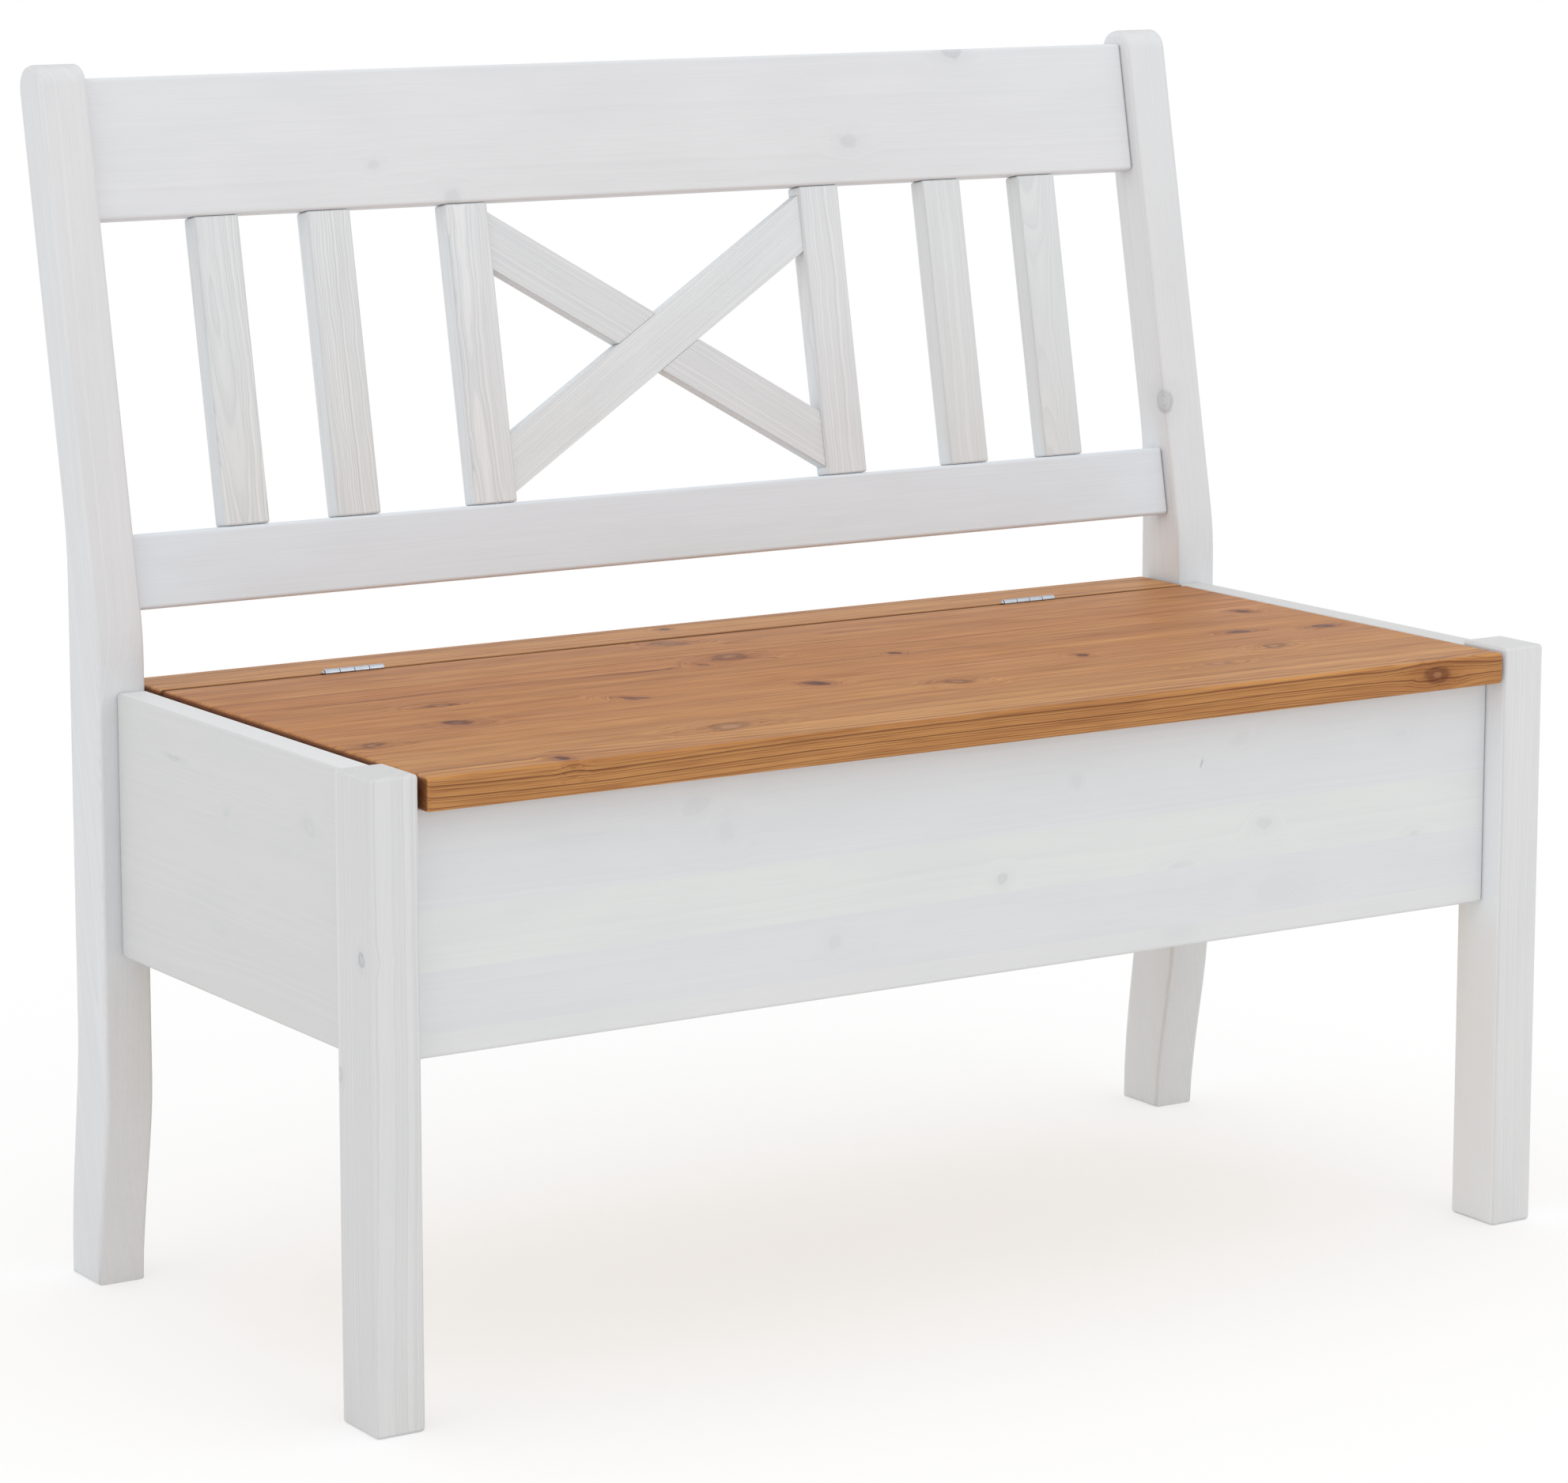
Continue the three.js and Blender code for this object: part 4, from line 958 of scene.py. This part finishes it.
def make_leaf(side, moving, steel):
    node = f"hinge_{side}_{'moving' if moving else 'fixed'}_leaf"
    middle, half = hinge_middle(side)
    sign = -1 if moving else 1
    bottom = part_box(node)[0].z - middle.z
    pitch = 2 * half / KNUCKLES
    starts = [-half + pitch * k for k in range(KNUCKLES) if k % 2 == moving]
    knuckles = [(x + KNUCKLE_GAP / 2, x + pitch - KNUCKLE_GAP / 2) for x in starts]
    shape = bmesh.new()

    def place(x, out, up):
        return shape.verts.new(middle + Vector((x, sign * out, up)))

    corners = ((-half, bottom), (half, bottom), (half, FLAT_TOP))
    loops = [[place(x, LEAF_MIDDLE, up) for x, up in corners]]
    feet = []
    for low, high in reversed(knuckles):
        feet.append((place(high, LEAF_MIDDLE, FLAT_TOP), place(low, LEAF_MIDDLE, FLAT_TOP)))
        loops[0] += feet[-1]
    loops[0].append(place(-half, LEAF_MIDDLE, FLAT_TOP))
    for x in (-SCREW_FROM_MIDDLE, SCREW_FROM_MIDDLE):
        hole = []
        for turn in TURNS:
            up = HOLE_RADIUS * math.sin(turn) - SCREW_BELOW_PIN
            hole.append(place(x + HOLE_RADIUS * math.cos(turn), LEAF_MIDDLE, up))
        loops.append(hole)
    edges = [shape.edges.new((loop[k - 1], loop[k])) for loop in loops for k in range(len(loop))]
    bmesh.ops.triangle_fill(shape, use_beauty=True, edges=edges)
    for (low, high), (right, left) in zip(reversed(knuckles), feet):
        for out, up in sheet_path():
            upper = (place(high, out, up), place(low, out, up))
            shape.faces.new((right, left, upper[1], upper[0]))
            right, left = upper
    name = f"hinge_{side}_{'lid' if moving else 'strip'}_leaf"
    piece = finish_mesh(shape, name, steel, node)
    thick = piece.modifiers.new("sheet", "SOLIDIFY")
    thick.thickness = SHEET
    thick.offset = 0
    thick.use_even_offset = True
    soften(piece, LEAF_ARRIS, STEEL_ARRIS_STEPS)


def join_rings(shape, rings):
    """Makes the faces between each ring of corners and the next."""
    for upper, lower in zip(rings, rings[1:]):
        for k in range(len(upper)):
            shape.faces.new((upper[k - 1], upper[k], lower[k], lower[k - 1]))


def make_pin(side, steel):
    node = f"hinge_{side}_pin"
    middle, _ = hinge_middle(side)
    lo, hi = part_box(node)
    head = lo.x + PIN_HEAD_LENGTH
    tip = PIN_RADIUS / 2
    dome = [math.pi / 2 * step / DOME_STEPS for step in range(DOME_STEPS + 1)]
    profile = [(head - PIN_HEAD_LENGTH * math.cos(t), PIN_HEAD * math.sin(t)) for t in dome]
    profile += [(head, PIN_RADIUS)]
    profile += [(hi.x - tip + tip * math.sin(t), PIN_RADIUS * math.cos(t)) for t in dome]
    shape = bmesh.new()
    rings = []
    for x, radius in profile:
        round_axis = [(radius * math.sin(turn), radius * math.cos(turn)) for turn in TURNS]
        rings.append([shape.verts.new((x, middle.y + y, middle.z + z)) for y, z in round_axis])
    join_rings(shape, rings)
    bmesh.ops.remove_doubles(shape, verts=shape.verts, dist=WELD_DISTANCE)
    piece = finish_mesh(shape, f"hinge_{side}_headed_pin", steel, node)
    soften(piece, PIN_ARRIS, STEEL_ARRIS_STEPS)


# Screws: countersunk heads with a cross recess, and a cut thread that runs to a point

HEAD_HEIGHT = 1.1 * MM
HEAD_RIM = 0.15 * MM
SHANK_SHARE = 0.5       # of the head's radius
CORE_SHARE = 0.72       # of the shank's radius, at the root of the thread
THREAD_PITCH = 1.3 * MM
THREAD_STEPS = 5        # rows in one turn of the thread
SCREW_TIP = 3 * MM
CROSS_ARM_SHARE = 0.56  # of the head's radius
CROSS_WIDTH_SHARE = 0.13
CROSS_DEPTH = 0.75 * MM
CROSS_BOTTOM = 0.5      # how much smaller the cross is at its bottom
SCREW_ARRIS = 0.05 * MM


def screw_rows(head, length):
    """The rows of a screw from the head down: how deep, how wide, and how much of it is thread."""
    shank = SHANK_SHARE * head
    plain = 2 * HEAD_HEIGHT
    step = THREAD_PITCH / THREAD_STEPS
    rows = [(0.0, head - HEAD_RIM / 2, 0), (HEAD_RIM, head, 0), (HEAD_HEIGHT, shank, 0), (plain, shank, 0)]
    depth = plain + step
    while depth < length:
        taper = min(1, (length - depth) / SCREW_TIP)
        rows.append((depth, shank * taper, 1))
        depth += step
    return rows + [(length, 0.0, 0)]


def make_screw(node, along, steel):
    lo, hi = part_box(node)
    head = (hi.x - lo.x) / 2
    length = abs((hi - lo).dot(along))
    middle = (lo + hi) / 2 - along * length / 2
    side = ACROSS
    over = along.cross(side)
    shape = bmesh.new()

    def place(x, y, depth):
        return shape.verts.new(middle + side * x + over * y + along * depth)

    rings = []
    for depth, radius, cut in screw_rows(head, length):
        ring = []
        for turn in TURNS:
            phase = (depth / THREAD_PITCH + turn / (2 * math.pi)) % 1
            crest = abs(2 * phase - 1)
            reach = radius * (1 - cut * (1 - CORE_SHARE) * crest)
            ring.append(place(reach * math.cos(turn), reach * math.sin(turn), depth))
        rings.append(ring)
    join_rings(shape, rings)
    corner = CROSS_WIDTH_SHARE * head
    arm = CROSS_ARM_SHARE * head
    quarter = ((arm, -corner), (arm, corner), (corner, corner))
    crosses = []
    for share, depth in ((1.0, 0.0), (CROSS_BOTTOM, CROSS_DEPTH)):
        cross = []
        for c, s in ((1, 0), (0, 1), (-1, 0), (0, -1)):
            cross += [place(share * (x * c - y * s), share * (x * s + y * c), depth) for x, y in quarter]
        crosses.append(cross)
    join_rings(shape, crosses)
    shape.faces.new(crosses[1])
    on_top = set(rings[0] + crosses[0])
    rims = [e for e in shape.edges if len(e.link_faces) == 1 and on_top.issuperset(e.verts)]
    bmesh.ops.triangle_fill(shape, use_beauty=True, edges=rims)
    bmesh.ops.remove_doubles(shape, verts=shape.verts, dist=WELD_DISTANCE)
    piece = finish_mesh(shape, node + "_cross_head", steel, node)
    soften(piece, SCREW_ARRIS, STEEL_ARRIS_STEPS)


class BENCH_OT_hinges(bpy.types.Operator):
    """Make the two hinges"""
    bl_idname = "bench.hinges"
    bl_label = "Hinges"

    def execute(self, context):
        steel = zinc_plated_steel("hinges")
        for side in SIDES:
            make_leaf(side, False, steel)
            make_leaf(side, True, steel)
            make_pin(side, steel)
        return {"FINISHED"}


class BENCH_OT_screws(bpy.types.Operator):
    """Make the screws of the hinges and the cleats"""
    bl_idname = "bench.screws"
    bl_label = "Screws"

    def execute(self, context):
        steel = zinc_plated_steel("screws")
        for node in NODES:
            if node.startswith("cleat_screw_"):
                make_screw(node, UP, steel)
            elif node.startswith("hinge_screw_"):
                make_screw(node, BACKWARD if "fixed" in node else -BACKWARD, steel)
        return {"FINISHED"}


class BENCH_OT_stage(bpy.types.Operator):
    """Set up the floor, the lights and the camera"""
    bl_idname = "bench.stage"
    bl_label = "Stage"

    def execute(self, context):
        make_floor(context.scene)
        make_lights(context.scene)
        make_camera(context.scene)
        return {"FINISHED"}


# Stage: a white studio floor that only shows the bench's own shadow

FLOOR_NEAR = 1.1    # metres from the middle within which the floor shows the shadow
FLOOR_FAR = 2.0     # and from where on it is plain white
FLOOR_LIFT = 0.55   # share of plain white near the bench
FLOOR_SIDES = 64
WHITE = (1, 1, 1, 1)


def seen_directly(tree):
    """One for rays from the camera or off glossy and clear surfaces, else zero."""
    path = add(tree, "ShaderNodeLightPath")
    seen = path.outputs["Is Camera Ray"]
    for ray in ("Is Glossy Ray", "Is Transmission Ray"):
        seen = add(tree, MATH, [seen, path.outputs[ray]], "MAXIMUM")
    return seen


def make_floor(scene):
    mesh = bpy.data.meshes.new("studio_floor")
    shape = bmesh.new()
    bmesh.ops.create_circle(shape, cap_ends=True, segments=FLOOR_SIDES, radius=scene.bench_stage.floor_radius)
    shape.to_mesh(mesh)
    shape.free()
    floor = bpy.data.objects.new("studio_floor", mesh)
    scene.collection.objects.link(floor)
    material, tree = new_material("white_studio_paint")
    here = add(tree, "ShaderNodeTexCoord").outputs["Object"]
    far = add(tree, VECTOR, [here], "LENGTH")
    seen = seen_directly(tree)
    lift = add(tree, RANGE, [far, FLOOR_NEAR, FLOOR_FAR, FLOOR_LIFT, 1.0], **SMOOTH)
    factor = add(tree, MATH, [lift, seen], "MULTIPLY")
    colour = tinted(tree, linear("#F0F0F0"), (seen, WHITE, 1.0))
    paint = add(tree, "ShaderNodeBsdfDiffuse", {"Color": colour})
    glow = add(tree, "ShaderNodeEmission", {"Color": WHITE, "Strength": 1.0})
    mixed = add(tree, "ShaderNodeMixShader", [factor, paint, glow])
    add(tree, "ShaderNodeOutputMaterial", {"Surface": mixed})
    mesh.materials.append(material)


# Soft lights: the setting that holds the power, where it stands, its width and its
# height, in metres. All point at the middle of the bench

SOFTBOXES = {
    "overhead_softbox": ("overhead_power", (0.2, -0.4, 3.4), 4.0, 4.0),
    "front_softbox": ("front_power", (1.2, -4.4, 1.2), 3.2, 2.4),
    "left_softbox": ("side_power", (-4.6, -0.6, 1.0), 3.2, 2.0),
}
BENCH_MIDDLE = Vector((0, 0, 0.45))


def make_lights(scene):
    stage = scene.bench_stage
    for name, (power, place, width, height) in SOFTBOXES.items():
        lamp = bpy.data.lights.new(name, "AREA")
        lamp.shape = "RECTANGLE"
        lamp.size = width
        lamp.size_y = height
        lamp.energy = getattr(stage, power)
        box = bpy.data.objects.new(name, lamp)
        box.location = place
        box.rotation_euler = (BENCH_MIDDLE - Vector(place)).to_track_quat("-Z", "Y").to_euler()
        scene.collection.objects.link(box)
    world = bpy.data.worlds.new("white_studio")
    world.use_nodes = True
    tree = world.node_tree
    tree.nodes.clear()
    room = add(tree, "ShaderNodeBackground", {"Color": WHITE, "Strength": stage.world_strength})
    seen = add(tree, "ShaderNodeBackground", {"Color": WHITE, "Strength": 1.0})
    mixed = add(tree, "ShaderNodeMixShader", [seen_directly(tree), room, seen])
    add(tree, "ShaderNodeOutputWorld", {"Surface": mixed})
    scene.world = world


CAMERA_PITCH = 80.53    # degrees up from looking straight down
CAMERA_YAW = -32.712
CAMERA_LENS = 119.62    # millimetres, as is the sensor's width
CAMERA_SENSOR = 36
CAMERA_SHIFT = -0.06
CAMERA_REACH = 100      # metres


def make_camera(scene):
    data = bpy.data.cameras.new("photograph_camera")
    data.sensor_width = CAMERA_SENSOR
    data.lens = CAMERA_LENS
    data.shift_y = CAMERA_SHIFT
    data.clip_end = CAMERA_REACH
    camera = bpy.data.objects.new("photograph_camera", data)
    camera.location = scene.bench_stage.camera_place
    camera.rotation_euler = (math.radians(CAMERA_PITCH), 0, math.radians(CAMERA_YAW))
    scene.collection.objects.link(camera)
    scene.camera = camera
    scene.view_settings.view_transform = "Standard"


class BENCH_PT_sidebar(bpy.types.Panel):
    """Lists the bench's pieces and settings"""
    bl_idname = "BENCH_PT_sidebar"
    bl_label = "Settle Bench"
    bl_space_type = "VIEW_3D"
    bl_region_type = "UI"
    bl_category = "Bench"

    def draw(self, context):
        for operator in OPERATORS:
            self.layout.operator(operator.bl_idname)
        for group in (context.scene.bench_timber, context.scene.bench_stage):
            for name in group.bl_rna.properties.keys():
                if name not in ("rna_type", "name"):
                    self.layout.prop(group, name)


OPERATORS = (
    BENCH_OT_uprights, BENCH_OT_panels, BENCH_OT_backrest, BENCH_OT_inside, BENCH_OT_seat, BENCH_OT_hinges,
    BENCH_OT_screws, BENCH_OT_stage,
)
CLASSES = (BenchTimberSettings, BenchStageSettings, *OPERATORS, BENCH_PT_sidebar)


def register():
    for cls in CLASSES:
        bpy.utils.register_class(cls)
    bpy.types.Scene.bench_timber = PointerProperty(type=BenchTimberSettings)
    bpy.types.Scene.bench_stage = PointerProperty(type=BenchStageSettings)


def unregister():
    del bpy.types.Scene.bench_timber
    del bpy.types.Scene.bench_stage
    for cls in reversed(CLASSES):
        bpy.utils.unregister_class(cls)


def main():
    register()
    bpy.ops.bench.uprights()
    bpy.ops.bench.panels()
    bpy.ops.bench.backrest()
    bpy.ops.bench.inside()
    bpy.ops.bench.seat()
    bpy.ops.bench.hinges()
    bpy.ops.bench.screws()
    bpy.ops.bench.stage()


if __name__ == "__main__":
    main()
